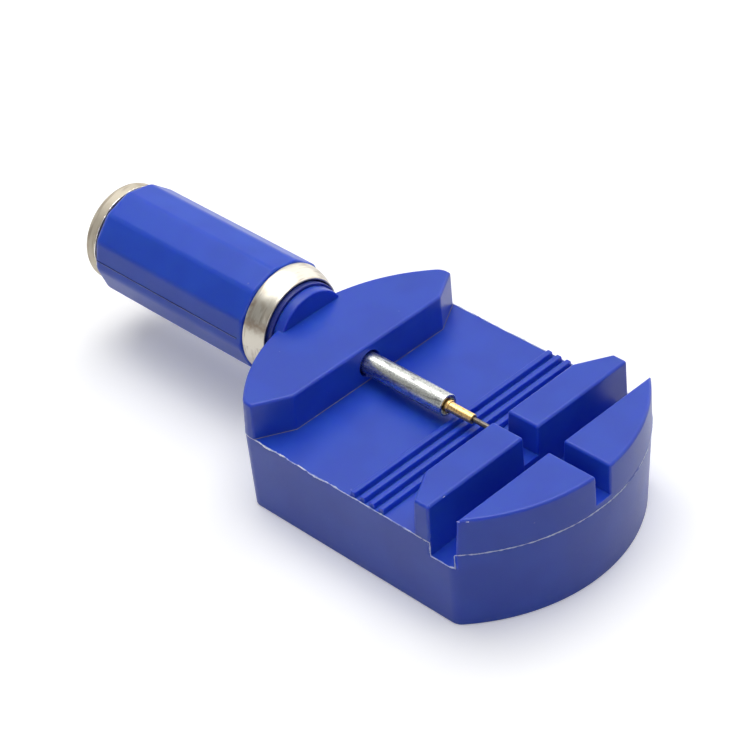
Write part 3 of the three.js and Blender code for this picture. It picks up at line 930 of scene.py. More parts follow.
def outer_bar(z, inset):
    wall = slot_walls(z)[1] + BAR_SKIN
    radius = PLAN_RADIUS - lean(z) - OUTER_BAR_SKIN
    half = math.asin(BAR_HALF / radius)
    end = arc((0, 0), radius, -half, half, CORNER_STEPS)
    return [Vector((wall, -BAR_HALF)), *end, Vector((wall, BAR_HALF))]


def add_jaws():
    root = SLOT_FLOOR - SUNK
    jaws = {
        inner_jaw: [(SLOT_FLOOR, SKIN), (DECK_HEIGHT - SKIN, SKIN), (DECK_HEIGHT, 0)],
        outer_jaw: [(SLOT_FLOOR, 0), (DECK_HEIGHT, 0), (PIN_FLOOR, 0)],
    }
    for left, middle in jaws.items():
        levels = [(root, ROOT_INSET), *middle, *BLOCK_EDGE]
        for side in (left, lambda z, inset: flipped(left(z, inset), y=-1)):
            combine(moulding, block("jaw", side, levels), "UNION")
    levels = [(z, 0) for z in (root, SLOT_FLOOR, DECK_HEIGHT, PIN_FLOOR)]
    for bar in (inner_bar, outer_bar):
        combine(moulding, block("bar", bar, levels), "UNION")


add_jaws()
print("with jaws:", len(moulding.data.polygons), "faces")

# %% [markdown]
# Behind the head, a flat seat is cut for the guide sleeve. A round boss and a tube are turned about
# the spindle line, and the bores for the thread and the nose are cut last.

# %% Boss, tube and bores
SEAT_X = -28.7 * MM
BOSS_FRONT_X = -26.95 * MM
BOSS_RADIUS = 6.75 * MM
BOSS_ROUNDING = 0.25 * MM
SEAT_RADIUS = 7.35 * MM
TUBE_REAR_X = -51.1 * MM
TUBE_RADIUS = 4.8 * MM
THREAD_BORE = 2.85 * MM
NOSE_BORE = 2.1 * MM
BORE_STEP_X = -27.4 * MM
BORE_CHAMFER = 0.12 * MM
MOUTH_BORE = NOSE_BORE + BORE_CHAMFER * 2


def add_boss_and_tube():
    seat = turned("seat", [
        (SEAT_X - OVERRUN, 0, 0),
        (SEAT_X - OVERRUN, SEAT_RADIUS, 0),
        (SEAT_X, SEAT_RADIUS, 0),
        (SEAT_X, 0, 0),
    ])
    boss = turned("boss", [
        (SEAT_X, 0, 0),
        (SEAT_X, BOSS_RADIUS, BOSS_ROUNDING / 2),
        (BOSS_FRONT_X, BOSS_RADIUS, BOSS_ROUNDING),
        (BOSS_FRONT_X, 0, 0),
    ])
    tube = turned("tube", [
        (TUBE_REAR_X, 0, 0),
        (TUBE_REAR_X, TUBE_RADIUS, BOSS_ROUNDING),
        (BOSS_FRONT_X - SUNK, TUBE_RADIUS, 0),
        (BOSS_FRONT_X - SUNK, 0, 0),
    ])
    bores = turned("bores", [
        (TUBE_REAR_X - OVERRUN, 0, 0),
        (TUBE_REAR_X - OVERRUN, THREAD_BORE, 0),
        (BORE_STEP_X, THREAD_BORE, 0),
        (BORE_STEP_X, NOSE_BORE, 0),
        (HEAD_FACE_X - BORE_CHAMFER * 2, NOSE_BORE, 0),
        (HEAD_FACE_X + BORE_CHAMFER, MOUTH_BORE, 0),
        (HEAD_FACE_X + OVERRUN, MOUTH_BORE, 0),
        (HEAD_FACE_X + OVERRUN, 0, 0),
    ])
    combine(moulding, seat, "DIFFERENCE")
    combine(moulding, boss, "UNION")
    combine(moulding, tube, "UNION")
    clean_up(moulding)
    combine(moulding, bores, "DIFFERENCE")
    clean_up(moulding)


add_boss_and_tube()
keep_flats_flat(moulding)
settle(moulding, blue_plastic, "body", "blue_plastic", "body_moulding")

# %% [markdown]
# What repeats is left to Geometry Nodes. These helpers start a group, end it with real geometry in
# its finish, and run it on a base mesh with its inputs set by name. The result is kept as a plain
# mesh without its modifier.

# %% Running a Geometry Nodes group
def new_shape_group(name, inputs):
    inputs = {"Geometry": GEOMETRY, **inputs, "Finish": MATERIAL}
    return new_group("GeometryNodeTree", name, inputs, {"Geometry": GEOMETRY})


def geo(tree, kind, inputs=None, **settings):
    return output(tree, "GeometryNode" + kind, inputs, **settings)


def end_group(tree, given, result, shape):
    shape = geo(tree, "RealizeInstances", {"Geometry": shape})
    shape = geo(tree, "SetMaterial", {"Geometry": shape, "Material": given["Finish"]})
    tree.links.new(shape, result["Geometry"])
    return tree


def grown(name, group, inputs, base=None):
    maker = new_object(name + " maker", base or bpy.data.meshes.new(name + " base"))
    modifier = maker.modifiers.new("nodes", "NODES")
    modifier.node_group = group
    for item in group.interface.items_tree:
        if item.in_out == "INPUT" and item.name in inputs:
            modifier[item.identifier] = inputs[item.name]
    bpy.context.view_layer.update()
    graph = bpy.context.evaluated_depsgraph_get()
    mesh = bpy.data.meshes.new_from_object(maker.evaluated_get(graph), depsgraph=graph)
    maker.modifiers.clear()
    bpy.data.objects.remove(maker)
    mesh.name = name
    return new_object(name, mesh)


# %% [markdown]
# Four low ribs cross the bed and stop the bracelet from sliding. They are flat on top with steep
# sides and softened edges. One rib is a straight curve swept with a trapezium whose foot lies in
# the plastic, and the group repeats it along the bed.

# %% Bed ribs
def make_ribs_group():
    tree, given, result = new_shape_group("Bed ribs", {
        "Count": 4, "Pitch": 2 * MM, "Foot Width": 1 * MM, "Top Width": 0.6 * MM,
        "Height": 1 * MM, "Sunk": 0.3 * MM, "Edge Rounding": 0.1 * MM, "Length": 40 * MM,
        "Front X": 0.0, "Foot Z": 0.0,
    })
    half = over(tree, given["Length"], 2.0)
    ends = {"Start": xyz(tree, Y=times(tree, half, -1.0)), "End": xyz(tree, Y=half)}
    line = geo(tree, "CurvePrimitiveLine", ends)
    line = geo(tree, "SetCurveNormal", {"Curve": line}, mode="Z_UP")
    section = geo(tree, "CurvePrimitiveQuadrilateral", {
        "Bottom Width": given["Foot Width"], "Top Width": given["Top Width"], "Offset": 0.0,
        "Height": plus(tree, given["Height"], given["Sunk"]),
    }, mode="TRAPEZOID")
    section = geo(tree, "FilletCurve", {
        "Curve": section, "Radius": given["Edge Rounding"], "Count": 4, "Limit Radius": True,
    }, mode="POLY")
    middle = over(tree, minus(tree, given["Sunk"], given["Height"]), 2.0)
    section = geo(tree, "Transform", {
        "Geometry": section, "Rotation": (0, 0, math.pi), "Translation": xyz(tree, Y=middle),
    })
    rib = geo(tree, "CurveToMesh", {"Curve": line, "Profile Curve": section, "Fill Caps": True})
    places = geo(tree, "MeshLine", {
        "Count": given["Count"],
        "Start Location": xyz(tree, X=given["Front X"], Z=given["Foot Z"]),
        "Offset": xyz(tree, X=times(tree, given["Pitch"], -1.0)),
    })
    ribs = geo(tree, "InstanceOnPoints", {"Points": places, "Instance": rib})
    return end_group(tree, given, result, ribs)


RIB_END_INSET = 0.20 * MM
RIB_END_ROUNDING = 0.12 * MM
RIB_END_ANGLE = math.radians(60)
ribs = grown("bed_ribs", make_ribs_group(), {
    "Count": 4,
    "Pitch": 1.8 * MM,
    "Foot Width": 1.25 * MM,
    "Top Width": 0.80 * MM,
    "Height": 0.80 * MM,
    "Sunk": 0.25 * MM,
    "Edge Rounding": 0.20 * MM,
    "Length": 2 * (HALF_WIDTH - RIB_END_INSET),
    "Front X": 6.7 * MM,
    "Foot Z": DECK_HEIGHT,
    "Finish": blue_plastic,
})
bevel = ribs.modifiers.new("rounded ends", "BEVEL")
bevel.width = RIB_END_ROUNDING
bevel.segments = 3
bevel.limit_method = "ANGLE"
bevel.angle_limit = RIB_END_ANGLE
keep_flats_flat(ribs)
settle(ribs, blue_plastic, "body", "blue_plastic")

# %% [markdown]
# Wherever a mould or a press tool closes, a little material squeezes out as a thin uneven bead. One
# group makes them all: it follows routes, shakes them a little, and sweeps a small circle of
# changing size along them. The circle's smallest size keeps the bead in one piece.

# %% Uneven bead
SHAKE_NOISE_SIZE = 2.2 * MM
WIDTH_NOISE_SIZE = 0.55 * MM
NOISE_GAIN = 4.0
LEAST_WIDTH = 0.15


def make_bead_group():
    tree, given, result = new_shape_group("Uneven bead", {
        "Spacing": 0.3 * MM, "Thickness": 0.1 * MM, "Unevenness": 0.5, "Shake": 0.05 * MM,
    })
    route = geo(tree, "MeshToCurve", {"Mesh": given["Geometry"]})
    route = geo(tree, "ResampleCurve", {"Curve": route, "Length": given["Spacing"]}, mode="LENGTH")
    place = geo(tree, "InputPosition")
    slow, quick = [
        node(tree, "ShaderNodeTexNoise", {"Vector": place, "Scale": 1 / size, "Detail": 2.0})
        for size in (SHAKE_NOISE_SIZE, WIDTH_NOISE_SIZE)
    ]
    centred = {0: slow.outputs["Color"], 1: (0.5, 0.5, 0.5)}
    shake = output(tree, "ShaderNodeVectorMath", centred, operation="SUBTRACT")
    shake = {0: shake, "Scale": times(tree, given["Shake"], NOISE_GAIN)}
    shake = output(tree, "ShaderNodeVectorMath", shake, operation="SCALE")
    route = geo(tree, "SetPosition", {"Geometry": route, "Offset": shake})
    swing = times(tree, minus(tree, quick.outputs["Fac"], 0.5), NOISE_GAIN)
    swing = plus(tree, times(tree, swing, given["Unevenness"]), 1.0)
    width = times(tree, calc(tree, "MAXIMUM", swing, LEAST_WIDTH), given["Thickness"])
    circle = geo(tree, "CurvePrimitiveCircle", {"Resolution": 6, "Radius": 0.5})
    sweep = {"Curve": route, "Profile Curve": circle, "Scale": width, "Fill Caps": True}
    return end_group(tree, given, result, geo(tree, "CurveToMesh", sweep))


UNEVEN_BEAD = make_bead_group()


def straight(start, end, steps=1):
    return [Vector(start).lerp(Vector(end), i / steps) for i in range(steps + 1)]


def bead(name, routes, finish, body, slot, spacing, thickness, unevenness, shake, closed=False):
    """A bead along some routes. Its spacing, thickness and shake are in mm."""
    points = []
    edges = []
    for route in routes:
        first, count = len(points), len(route)
        points += route
        steps = range(count if closed else count - 1)
        edges += [(first + i, first + (i + 1) % count) for i in steps]
    mesh = bpy.data.meshes.new(name + " routes")
    mesh.from_pydata(points, edges, [])
    inputs = {
        "Spacing": spacing * MM, "Thickness": thickness * MM, "Unevenness": unevenness,
        "Shake": shake * MM, "Finish": finish,
    }
    piece = grown(name, UNEVEN_BEAD, inputs, mesh)
    piece.data.shade_smooth()
    settle(piece, finish, body, slot)


# %% [markdown]
# The mould of the base closes at the height of the bed, and its flash follows the moulding's own
# outline there. At the mouths of the cross slot it goes down one wall, along the floor and up the
# other. A few short near-white beads on the jaws' top edges at their left ends are painted
# highlights of those edges, built as burrs. A dirty seam runs along the head's foot, and torn flash
# hangs beside the bed.

# %% Flash and painted edge highlights on the moulding
PARTING_STEP = 0.3 * MM
HIGHLIGHT_BURR_TOP = BLOCK_TOP - 0.10 * MM
# Short beads whose near-white finish paints the highlights of the jaws' top edges.
EDGE_HIGHLIGHT_BURRS = (
    (4.55, -20.3, 4.9, -20.1),
    (5.5, -19.55, 5.8, -19.3),
    (-0.7, -20.4, -0.35, -20.25),
    (-0.15, -17.9, -0.15, -17.5),
)
SEAM_RISE = 0.01 * MM
TATTERS_X = (-17.9 * MM, -2.5 * MM)
TATTERS_STEPS = 12


def parting_route():
    """Half the outline from the front apex round to the rear one, and then its mirror image."""
    rear_wall, front_wall, _ = slot_walls(DECK_HEIGHT)
    tip = jaw_tip(DECK_HEIGHT)
    deck, floor = [
        [Vector((p.x, p.y, z)) for p in outer_wall(z, 0) if p.y >= 0]
        for z in (DECK_HEIGHT, SLOT_FLOOR)
    ]
    half = [p for p in deck if p.x > front_wall and p.y < tip.y - PARTING_STEP]
    half += [tip, jaw_tip(SLOT_FLOOR)]
    half += [p for p in floor if SLOT_REAR_X < p.x < SLOT_FRONT_X]
    half += [
        Vector((SLOT_REAR_X, HALF_WIDTH - lean(SLOT_FLOOR), SLOT_FLOOR)),
        Vector((rear_wall, HALF_WIDTH, DECK_HEIGHT)),
    ]
    half += [p for p in deck if p.x < rear_wall]
    return half + [Vector((p.x, -p.y, p.z)) for p in reversed(half)][1:-1]


def highlight_burr_route(*ends):
    """The line between two ends, given in mm from the rear wall of the cross slot."""
    start, end = [
        (SLOT_REAR_X + x * MM, y * MM, HIGHLIGHT_BURR_TOP) for x, y in (ends[:2], ends[2:])
    ]
    return straight(start, end)


seam_corners = (HEAD[1], HEAD[0], HEAD[-1], HEAD[-2])
seam_route = [Vector((x, y, DECK_HEIGHT + SEAM_RISE)) for x, y, _ in seam_corners]
tatters_route = straight(*[(x, -HALF_WIDTH, DECK_HEIGHT) for x in TATTERS_X], TATTERS_STEPS)

bead("parting_flash", [parting_route()], mould_flash, "body", "blue_plastic",
     spacing=0.22, thickness=0.16, unevenness=0.85, shake=0.05, closed=True)
bead("edge_highlight_burrs", [highlight_burr_route(*ends) for ends in EDGE_HIGHLIGHT_BURRS], flash_and_highlight_white, "body", "blue_plastic",
     spacing=0.09, thickness=0.075, unevenness=1.3, shake=0.06)
bead("head_seam", [seam_route], mould_seam, "body", "blue_plastic",
     spacing=0.4, thickness=0.10, unevenness=0.3, shake=0.01)
bead("flash_tatters", [tatters_route], flash_and_highlight_white, "body", "blue_plastic",
     spacing=0.12, thickness=0.17, unevenness=1.0, shake=0.13)

# %% [markdown]
# The guide sleeve is pressed over the tube at the back of the moulding and is what the handle runs
# on. Only its front end shows, as a dark ring inside the ferrule, until the handle is unscrewed.

# %% Guide sleeve
sleeve_low, sleeve_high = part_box("guide_sleeve")
TUBE_BORE = 4.85 * MM
NUT_POCKET = 4.75 * MM
SLEEVE_LIP = 0.9 * MM
POCKET_FRONT_X = -51.2 * MM

sleeve = turned("sleeve", [
    (sleeve_low.x, THREAD_BORE, 0.1 * MM),
    (sleeve_low.x, sleeve_high.y, 0.4 * MM),
    (sleeve_high.x, sleeve_high.y, 0.12 * MM),
    (sleeve_high.x, TUBE_BORE, 0.1 * MM),
    (POCKET_FRONT_X, TUBE_BORE, 0),
    (POCKET_FRONT_X, NUT_POCKET, 0),
    (sleeve_low.x + SLEEVE_LIP, NUT_POCKET, 0),
    (sleeve_low.x + SLEEVE_LIP, THREAD_BORE, 0),
], closed=True)
settle(sleeve, navy_plastic, "body", "navy_plastic", "guide_sleeve")

# %% [markdown]
# A hexagon nut is turned at both ends, so its corners are chamfered in curves. Walking round it, a
# face is nearest the line at its middle, and the chamfer reaches furthest down at the corners. The
# lock nut is turned with the handle, by the same angle as the grip.

# %% Nuts and washer
NUT_STEPS = 96
NUT_SHARP_ANGLE = math.radians(25)
CHAMFER_SLOPE = math.tan(math.radians(30))
NUT_FACE_SHARE = 0.95
FEED_NUT_BORE = 2.6 * MM
LOCK_NUT_FLAT = 3.5 * MM
SHANK_BORE = 2.1 * MM
HANDLE_TURN = math.radians(5.9)


def hex_nut(name, cad_node, flat_radius, bore_radius, corner_angle):
    low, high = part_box(cad_node)
    face_radius = flat_radius * NUT_FACE_SHARE
    shape = bmesh.new()
    rings = [[] for _ in range(6)]
    for k in range(NUT_STEPS):
        angle = 2 * math.pi * k / NUT_STEPS
        from_middle = (angle + math.pi / 6) % (math.pi / 3) - math.pi / 6
        radius = flat_radius / math.cos(from_middle)
        drop = (radius - face_radius) * CHAMFER_SLOPE
        stations = (
            (low.x, bore_radius), (low.x, face_radius), (low.x + drop, radius),
            (high.x - drop, radius), (high.x, face_radius), (high.x, bore_radius),
        )
        for ring, (x, distance) in zip(rings, stations):
            place = around(x, distance, angle + corner_angle - math.pi / 6)
            ring.append(shape.verts.new(place))
    skin(shape, rings, closed=True)
    bmesh.ops.recalc_face_normals(shape, faces=shape.faces)
    piece = object_from(name, shape)
    piece.data.shade_smooth()
    piece.data.set_sharp_from_angle(angle=NUT_SHARP_ANGLE)
    return piece


nut_low, nut_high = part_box("spindle_nut")
nut_size = nut_high - nut_low
nut_corner = math.pi / 2 if nut_size.z > nut_size.y else 0
nut_flat = min(nut_size.y, nut_size.z) / 2
nut = hex_nut("feed_nut", "spindle_nut", nut_flat, FEED_NUT_BORE, nut_corner)
settle(nut, zinc_plate, "body", "zinc_plate", "spindle_nut")
lock_nut = hex_nut("hub_lock_nut", "lock_nut", LOCK_NUT_FLAT, SHANK_BORE, HANDLE_TURN)
settle(lock_nut, zinc_plate, "handle", "zinc_plate", "lock_nut")

washer_low, washer_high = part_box("hub_washer")
washer = turned("washer", [
    (washer_low.x, SHANK_BORE, 0.05 * MM),
    (washer_low.x, washer_high.y, 0.15 * MM),
    (washer_high.x, washer_high.y, 0.08 * MM),
    (washer_high.x, SHANK_BORE, 0.05 * MM),
], closed=True)
settle(washer, zinc_plate, "handle", "zinc_plate", "hub_washer")

# %% [markdown]
# The spindle is one turned bar: a shank in the hub of the grip, the thread, and the smooth nose
# that comes out over the bed. Its front end is bored for the pin holder and recessed round it.

# %% Spindle
spindle_low, spindle_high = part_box("spindle")
HUB_FRONT_X = -57.2 * MM
THREAD_FRONT_X = -28.0 * MM
SHANK_RADIUS = 2.0 * MM
THREAD_CORE = 2.06 * MM
THREAD_RADIUS = 2.5 * MM
RECESS_RADIUS = 1.38 * MM
RECESS_X = spindle_high.x - 0.9 * MM
HOLDER_BORE = 1.0 * MM
HOLDER_SEAT_X = -8.9 * MM

spindle = turned("spindle_bar", [
    (spindle_low.x, 0, 0),
    (spindle_low.x, SHANK_RADIUS, 0.35 * MM),
    (HUB_FRONT_X, SHANK_RADIUS, 0),
    (HUB_FRONT_X, THREAD_CORE, 0),
    (THREAD_FRONT_X, THREAD_CORE, 0.2 * MM),
    (THREAD_FRONT_X, NOSE_RADIUS, 0),
    (spindle_high.x, NOSE_RADIUS, 0.16 * MM),
    (spindle_high.x, RECESS_RADIUS, 0.05 * MM),
    (RECESS_X, RECESS_RADIUS, 0.05 * MM),
    (RECESS_X, HOLDER_BORE, 0.05 * MM),
    (HOLDER_SEAT_X, HOLDER_BORE, 0),
    (HOLDER_SEAT_X, 0, 0),
], steps=SMALL_TURN_STEPS)
settle(spindle, plated_bar, "handle", "zinc_plate", "spindle")

# %% [markdown]
# The thread is a helix, which Geometry Nodes have as a curve of their own. A small diamond swept
# along it gives the ridge that runs in the nut, 0.8 mm a turn.

# %% Spindle thread
THREAD_PITCH = 0.8 * MM
THREAD_INSET = 0.5 * MM


def make_thread_group():
    tree, given, result = new_shape_group("Thread ridge", {
        "Turns": 10.0, "Pitch": 1 * MM, "Core Radius": 2 * MM, "Outer Radius": 2.5 * MM,
        "Rear X": 0.0, "Axis Height": 0.0,
    })
    helix = geo(tree, "CurveSpiral", {
        "Resolution": 36, "Rotations": given["Turns"],
        "Height": times(tree, given["Turns"], given["Pitch"]),
        "Start Radius": given["Core Radius"], "End Radius": given["Core Radius"],
    })
    depth = minus(tree, given["Outer Radius"], given["Core Radius"])
    diamond = geo(tree, "CurvePrimitiveCircle", {"Resolution": 4, "Radius": depth})
    sweep = {"Curve": helix, "Profile Curve": diamond, "Fill Caps": True}
    ridge = geo(tree, "Transform", {
        "Geometry": geo(tree, "CurveToMesh", sweep), "Rotation": (0, math.pi / 2, 0),
        "Translation": xyz(tree, X=given["Rear X"], Z=given["Axis Height"]),
    })
    return end_group(tree, given, result, ridge)


thread = grown("spindle_thread", make_thread_group(), {
    "Turns": (THREAD_FRONT_X - HUB_FRONT_X - 2 * THREAD_INSET) / THREAD_PITCH,
    "Pitch": THREAD_PITCH,
    "Core Radius": THREAD_CORE,
    "Outer Radius": THREAD_RADIUS,
    "Rear X": HUB_FRONT_X + THREAD_INSET,
    "Axis Height": AXIS_HEIGHT,
    "Finish": zinc_plate,
})
settle(thread, zinc_plate, "handle", "zinc_plate")

# %% [markdown]
# The holder is drawn brass, pressed into the nose, with a collar that shows in the recess and a
# slight taper towards the pin. The pin is steel wire with a blunt, slightly pointed tip.

# %% Pin holder and push pin
holder_low, holder_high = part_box("pin_holder")
pin_low, pin_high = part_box("push_pin")
HOLDER_REAR_RADIUS = 0.80 * MM
HOLDER_FRONT_RADIUS = 0.76 * MM
COLLAR_RADIUS = 1.00 * MM
COLLAR_X = (-0.6 * MM, 0.8 * MM)
PIN_RADIUS = 0.40 * MM
PIN_BORE = 0.43 * MM
PIN_TIP_RADIUS = 0.2 * MM
PIN_TIP_LENGTH = 0.25 * MM

holder = turned("holder", [
    (holder_low.x, 0, 0),
    (holder_low.x, HOLDER_REAR_RADIUS, 0.08 * MM),
    (COLLAR_X[0], HOLDER_REAR_RADIUS, 0),
    (COLLAR_X[0], COLLAR_RADIUS, 0.06 * MM),
    (COLLAR_X[1], COLLAR_RADIUS, 0.12 * MM),
    (COLLAR_X[1], HOLDER_REAR_RADIUS, 0.05 * MM),
    (holder_high.x, HOLDER_FRONT_RADIUS, 0.14 * MM),
    (holder_high.x, PIN_BORE, 0.08 * MM),
    (pin_low.x, PIN_BORE, 0),
    (pin_low.x, 0, 0),
], steps=SMALL_TURN_STEPS)
settle(holder, brass, "tip", "brass", "pin_holder")

pin = turned("pin", [
    (pin_low.x, 0, 0),
    (pin_low.x, PIN_RADIUS, 0.05 * MM),
    (pin_high.x - PIN_TIP_LENGTH, PIN_RADIUS, 0.1 * MM),
    (pin_high.x, PIN_TIP_RADIUS, 0.08 * MM),
    (pin_high.x, 0, 0),
], steps=SMALL_TURN_STEPS)
settle(pin, tool_steel, "tip", "tool_steel", "push_pin")

# %% [markdown]
# The grip follows a rule from end to end: a twelve-sided outline with softened corners, drawn in a
# little at both ends. So Geometry Nodes sweep it. The sweep's stations crowd at the two ends, where
# a quarter circle gives both how far along each lies and how much smaller the outline is there.
# Then the bores are cut from it.

# %% Grip
grip_low, grip_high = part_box("grip")
GRIP_SIDES = 12
GRIP_FLAT_RADIUS = 8.8 * MM
GRIP_BORE = 7.55 * MM
SKIRT_BORE = 8.2 * MM
SKIRT_X = grip_high.x - 3.0 * MM
CAP_RECESS = 7.2 * MM
HUB_REAR_X = -62.2 * MM
HUB_BORE = 2.05 * MM


def make_grip_group():
    tree, given, result = new_shape_group("Faceted grip", {
        "Sides": 12, "Corner Radius": 9 * MM, "Corner Rounding": 1 * MM, "Corner Angle": 0.0,
        "Rear X": 0.0, "Front X": 30 * MM, "Rear Rounding": 0.5 * MM, "Front Rounding": 0.5 * MM,
        "End Stations": 6, "Axis Height": 0.0,
    })
    circle = {"Resolution": given["Sides"], "Radius": given["Corner Radius"]}
    outline = geo(tree, "FilletCurve", {
        "Curve": geo(tree, "CurvePrimitiveCircle", circle), "Radius": given["Corner Rounding"],
        "Limit Radius": True, "Count": 5,
    }, mode="POLY")
    turn = xyz(tree, Z=given["Corner Angle"])
    outline = geo(tree, "Transform", {"Geometry": outline, "Rotation": turn})

    stations = times(tree, given["End Stations"], 2.0)
    line = {"Curve": geo(tree, "CurvePrimitiveLine"), "Count": stations}
    line = geo(tree, "ResampleCurve", line, mode="COUNT")
    index = geo(tree, "InputIndex")
    at_rear = calc(tree, "LESS_THAN", index, given["End Stations"])

    def by_end(rear, front):
        ends = {"Switch": at_rear, "True": rear, "False": front}
        return geo(tree, "Switch", ends, input_type="FLOAT")

    step = calc(tree, "MINIMUM", index, minus(tree, minus(tree, stations, 1.0), index))
    angle = times(tree, step, over(tree, math.pi / 2, minus(tree, given["End Stations"], 1.0)))
    rounding = by_end(given["Rear Rounding"], given["Front Rounding"])
    inward = times(tree, minus(tree, 1.0, calc(tree, "COSINE", angle)), rounding)
    drawn = times(tree, minus(tree, 1.0, calc(tree, "SINE", angle)), rounding)
    scale = minus(tree, 1.0, over(tree, drawn, given["Corner Radius"]))
    along = by_end(plus(tree, given["Rear X"], inward), minus(tree, given["Front X"], inward))
    place = xyz(tree, X=along, Z=given["Axis Height"])
    line = geo(tree, "SetPosition", {"Geometry": line, "Position": place})
    line = geo(tree, "SetCurveNormal", {"Curve": line}, mode="Z_UP")
    sweep = {"Curve": line, "Profile Curve": outline, "Scale": scale, "Fill Caps": True}
    return end_group(tree, given, result, geo(tree, "CurveToMesh", sweep))


grip = grown("handle_grip", make_grip_group(), {
    "Sides": GRIP_SIDES,
    "Corner Radius": GRIP_FLAT_RADIUS / math.cos(math.pi / GRIP_SIDES),
    "Corner Rounding": 2.2 * MM,
    "Corner Angle": HANDLE_TURN,
    "Rear X": grip_low.x,
    "Front X": grip_high.x,
    "Rear Rounding": 1.25 * MM,
    "Front Rounding": 0.5 * MM,
    "End Stations": 6,
    "Axis Height": AXIS_HEIGHT,
    "Finish": grip_plastic,
})
grip_bores = turned("grip bores", [
    (grip_low.x - OVERRUN, 0, 0),
    (grip_low.x - OVERRUN, CAP_RECESS, 0),
    (HUB_REAR_X, CAP_RECESS, 0),
    (HUB_REAR_X, HUB_BORE, 0),
    (HUB_FRONT_X, HUB_BORE, 0),
    (HUB_FRONT_X, GRIP_BORE, 0),
    (SKIRT_X, GRIP_BORE, 0),
    (SKIRT_X, SKIRT_BORE, 0),
    (grip_high.x + OVERRUN, SKIRT_BORE, 0),
    (grip_high.x + OVERRUN, 0, 0),
], steps=SMALL_TURN_STEPS)
combine(grip, grip_bores, "DIFFERENCE")
keep_flats_flat(grip)
settle(grip, grip_plastic, "handle", "blue_plastic", "grip")

# %% [markdown]
# The grip's mould closed along two lines, at opposite sides. Its halves didn't quite meet, which
# left a small step there. The step's pale finish is a painted highlight, and a dark line just below
# it is painted shade.

# %% Step of the grip, with its painted highlight and shade
STEP_ANGLE = math.radians(-3)
STEP_SHADE_ANGLE = math.radians(-3.8)
GRIP_LINE_RADIUS = 8.87 * MM
GRIP_LINE_INSET = 0.9 * MM
GRIP_LINE_STEPS = 12


def grip_lines(angle):
    """Routes along the grip at an angle round the spindle line, and opposite to it."""
    ends = grip_low.x + GRIP_LINE_INSET, grip_high.x - GRIP_LINE_INSET
    return [
        straight(*[around(x, GRIP_LINE_RADIUS, turn) for x in ends], GRIP_LINE_STEPS)
        for turn in (angle, angle + math.pi)
    ]


bead("grip_flash_and_highlight", grip_lines(STEP_ANGLE), step_flash_and_highlight, "handle", "blue_plastic",
     spacing=0.3, thickness=0.085, unevenness=0.5, shake=0.02)
bead("grip_step_shade", grip_lines(STEP_SHADE_ANGLE), painted_step_shade, "handle", "blue_plastic",
     spacing=0.3, thickness=0.10, unevenness=0.4, shake=0.02)

# %% [markdown]
# The ferrule is a pressed nickel ring that closes the front of the grip. It bulges a little between
# its rear rim and its lip, so its profile is a cone with part of a sine wave added.

# %% Front ferrule
ferrule_low, ferrule_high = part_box("front_ferrule")
RIM_X = -33.1 * MM
RIM_RADIUS = 8.68 * MM
RIM_BAND = 0.4 * MM
LIP_RADIUS = 7.65 * MM
LIP_BAND = 0.1 * MM
FERRULE_BULGE = 0.16 * MM
FERRULE_BORE = 7.35 * MM
FERRULE_STATIONS = 14
SKIRT_INNER = 7.55 * MM
SKIRT_OUTER = 8.15 * MM


def cone_point(share):
    """A corner of the profile, at some share of the way from the rim to the lip."""
    rear, front = RIM_X + RIM_BAND, ferrule_high.x - LIP_BAND
    radius = RIM_RADIUS + (LIP_RADIUS - RIM_RADIUS) * share
    return rear + (front - rear) * share, radius + FERRULE_BULGE * math.sin(math.pi * share), 0


ferrule = turned("ferrule", [
    (ferrule_low.x, SKIRT_INNER, 0),
    (ferrule_low.x, SKIRT_OUTER, 0.1 * MM),
    (RIM_X, SKIRT_OUTER, 0),
    (RIM_X, RIM_RADIUS, 0.14 * MM),
    *[cone_point(i / FERRULE_STATIONS) for i in range(FERRULE_STATIONS)],
    (ferrule_high.x, LIP_RADIUS, 0.14 * MM),
    (ferrule_high.x, FERRULE_BORE, 0.1 * MM),
    (RIM_X, FERRULE_BORE, 0),
    (RIM_X, SKIRT_INNER, 0),
], closed=True)
settle(ferrule, ferrule_nickel, "handle", "nickel", "front_ferrule")

# %% [markdown]
# The end cap is a shallow pressed cup with a slightly domed end. Its rim was trimmed and not
# dressed, so a rough bead of burr runs round it.

# %% End cap and its burr
cap_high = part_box("end_cap")[1]
CAP_FRONT_X = -66.60 * MM
CAP_REAR_X = -69.3 * MM
CAP_RADIUS = 8.1 * MM
CAP_EDGE_RADIUS = 1.1 * MM
CAP_FLAT = CAP_RADIUS - CAP_EDGE_RADIUS
CAP_DOME = 0.25 * MM
CAP_WALL = 0.6 * MM
CAP_SPIGOT = 7.15 * MM
CAP_INNER = CAP_SPIGOT - CAP_WALL
CAP_STATIONS = 8
BURR_INSET = 0.06 * MM
RIM_STEPS = 180

shares = [i / CAP_STATIONS for i in range(CAP_STATIONS + 1)]
cap_edge = arc((CAP_REAR_X + CAP_EDGE_RADIUS, CAP_FLAT), CAP_EDGE_RADIUS,
               math.pi, math.pi / 2, CAP_STATIONS)
cap = turned("cap", [
    *[(CAP_REAR_X - CAP_DOME * (1 - share**2), CAP_FLAT * share, 0) for share in shares[:-1]],
    *[(*place, 0) for place in cap_edge],
    (CAP_FRONT_X, CAP_RADIUS, 0.12 * MM),
    (CAP_FRONT_X, CAP_SPIGOT, 0),
    (cap_high.x, CAP_SPIGOT, 0.1 * MM),
    (cap_high.x, CAP_INNER, 0.1 * MM),
    (CAP_REAR_X + CAP_WALL, CAP_INNER, 0),
    (CAP_REAR_X + CAP_WALL, 0, 0),
])
settle(cap, brushed_nickel, "handle", "nickel", "end_cap")

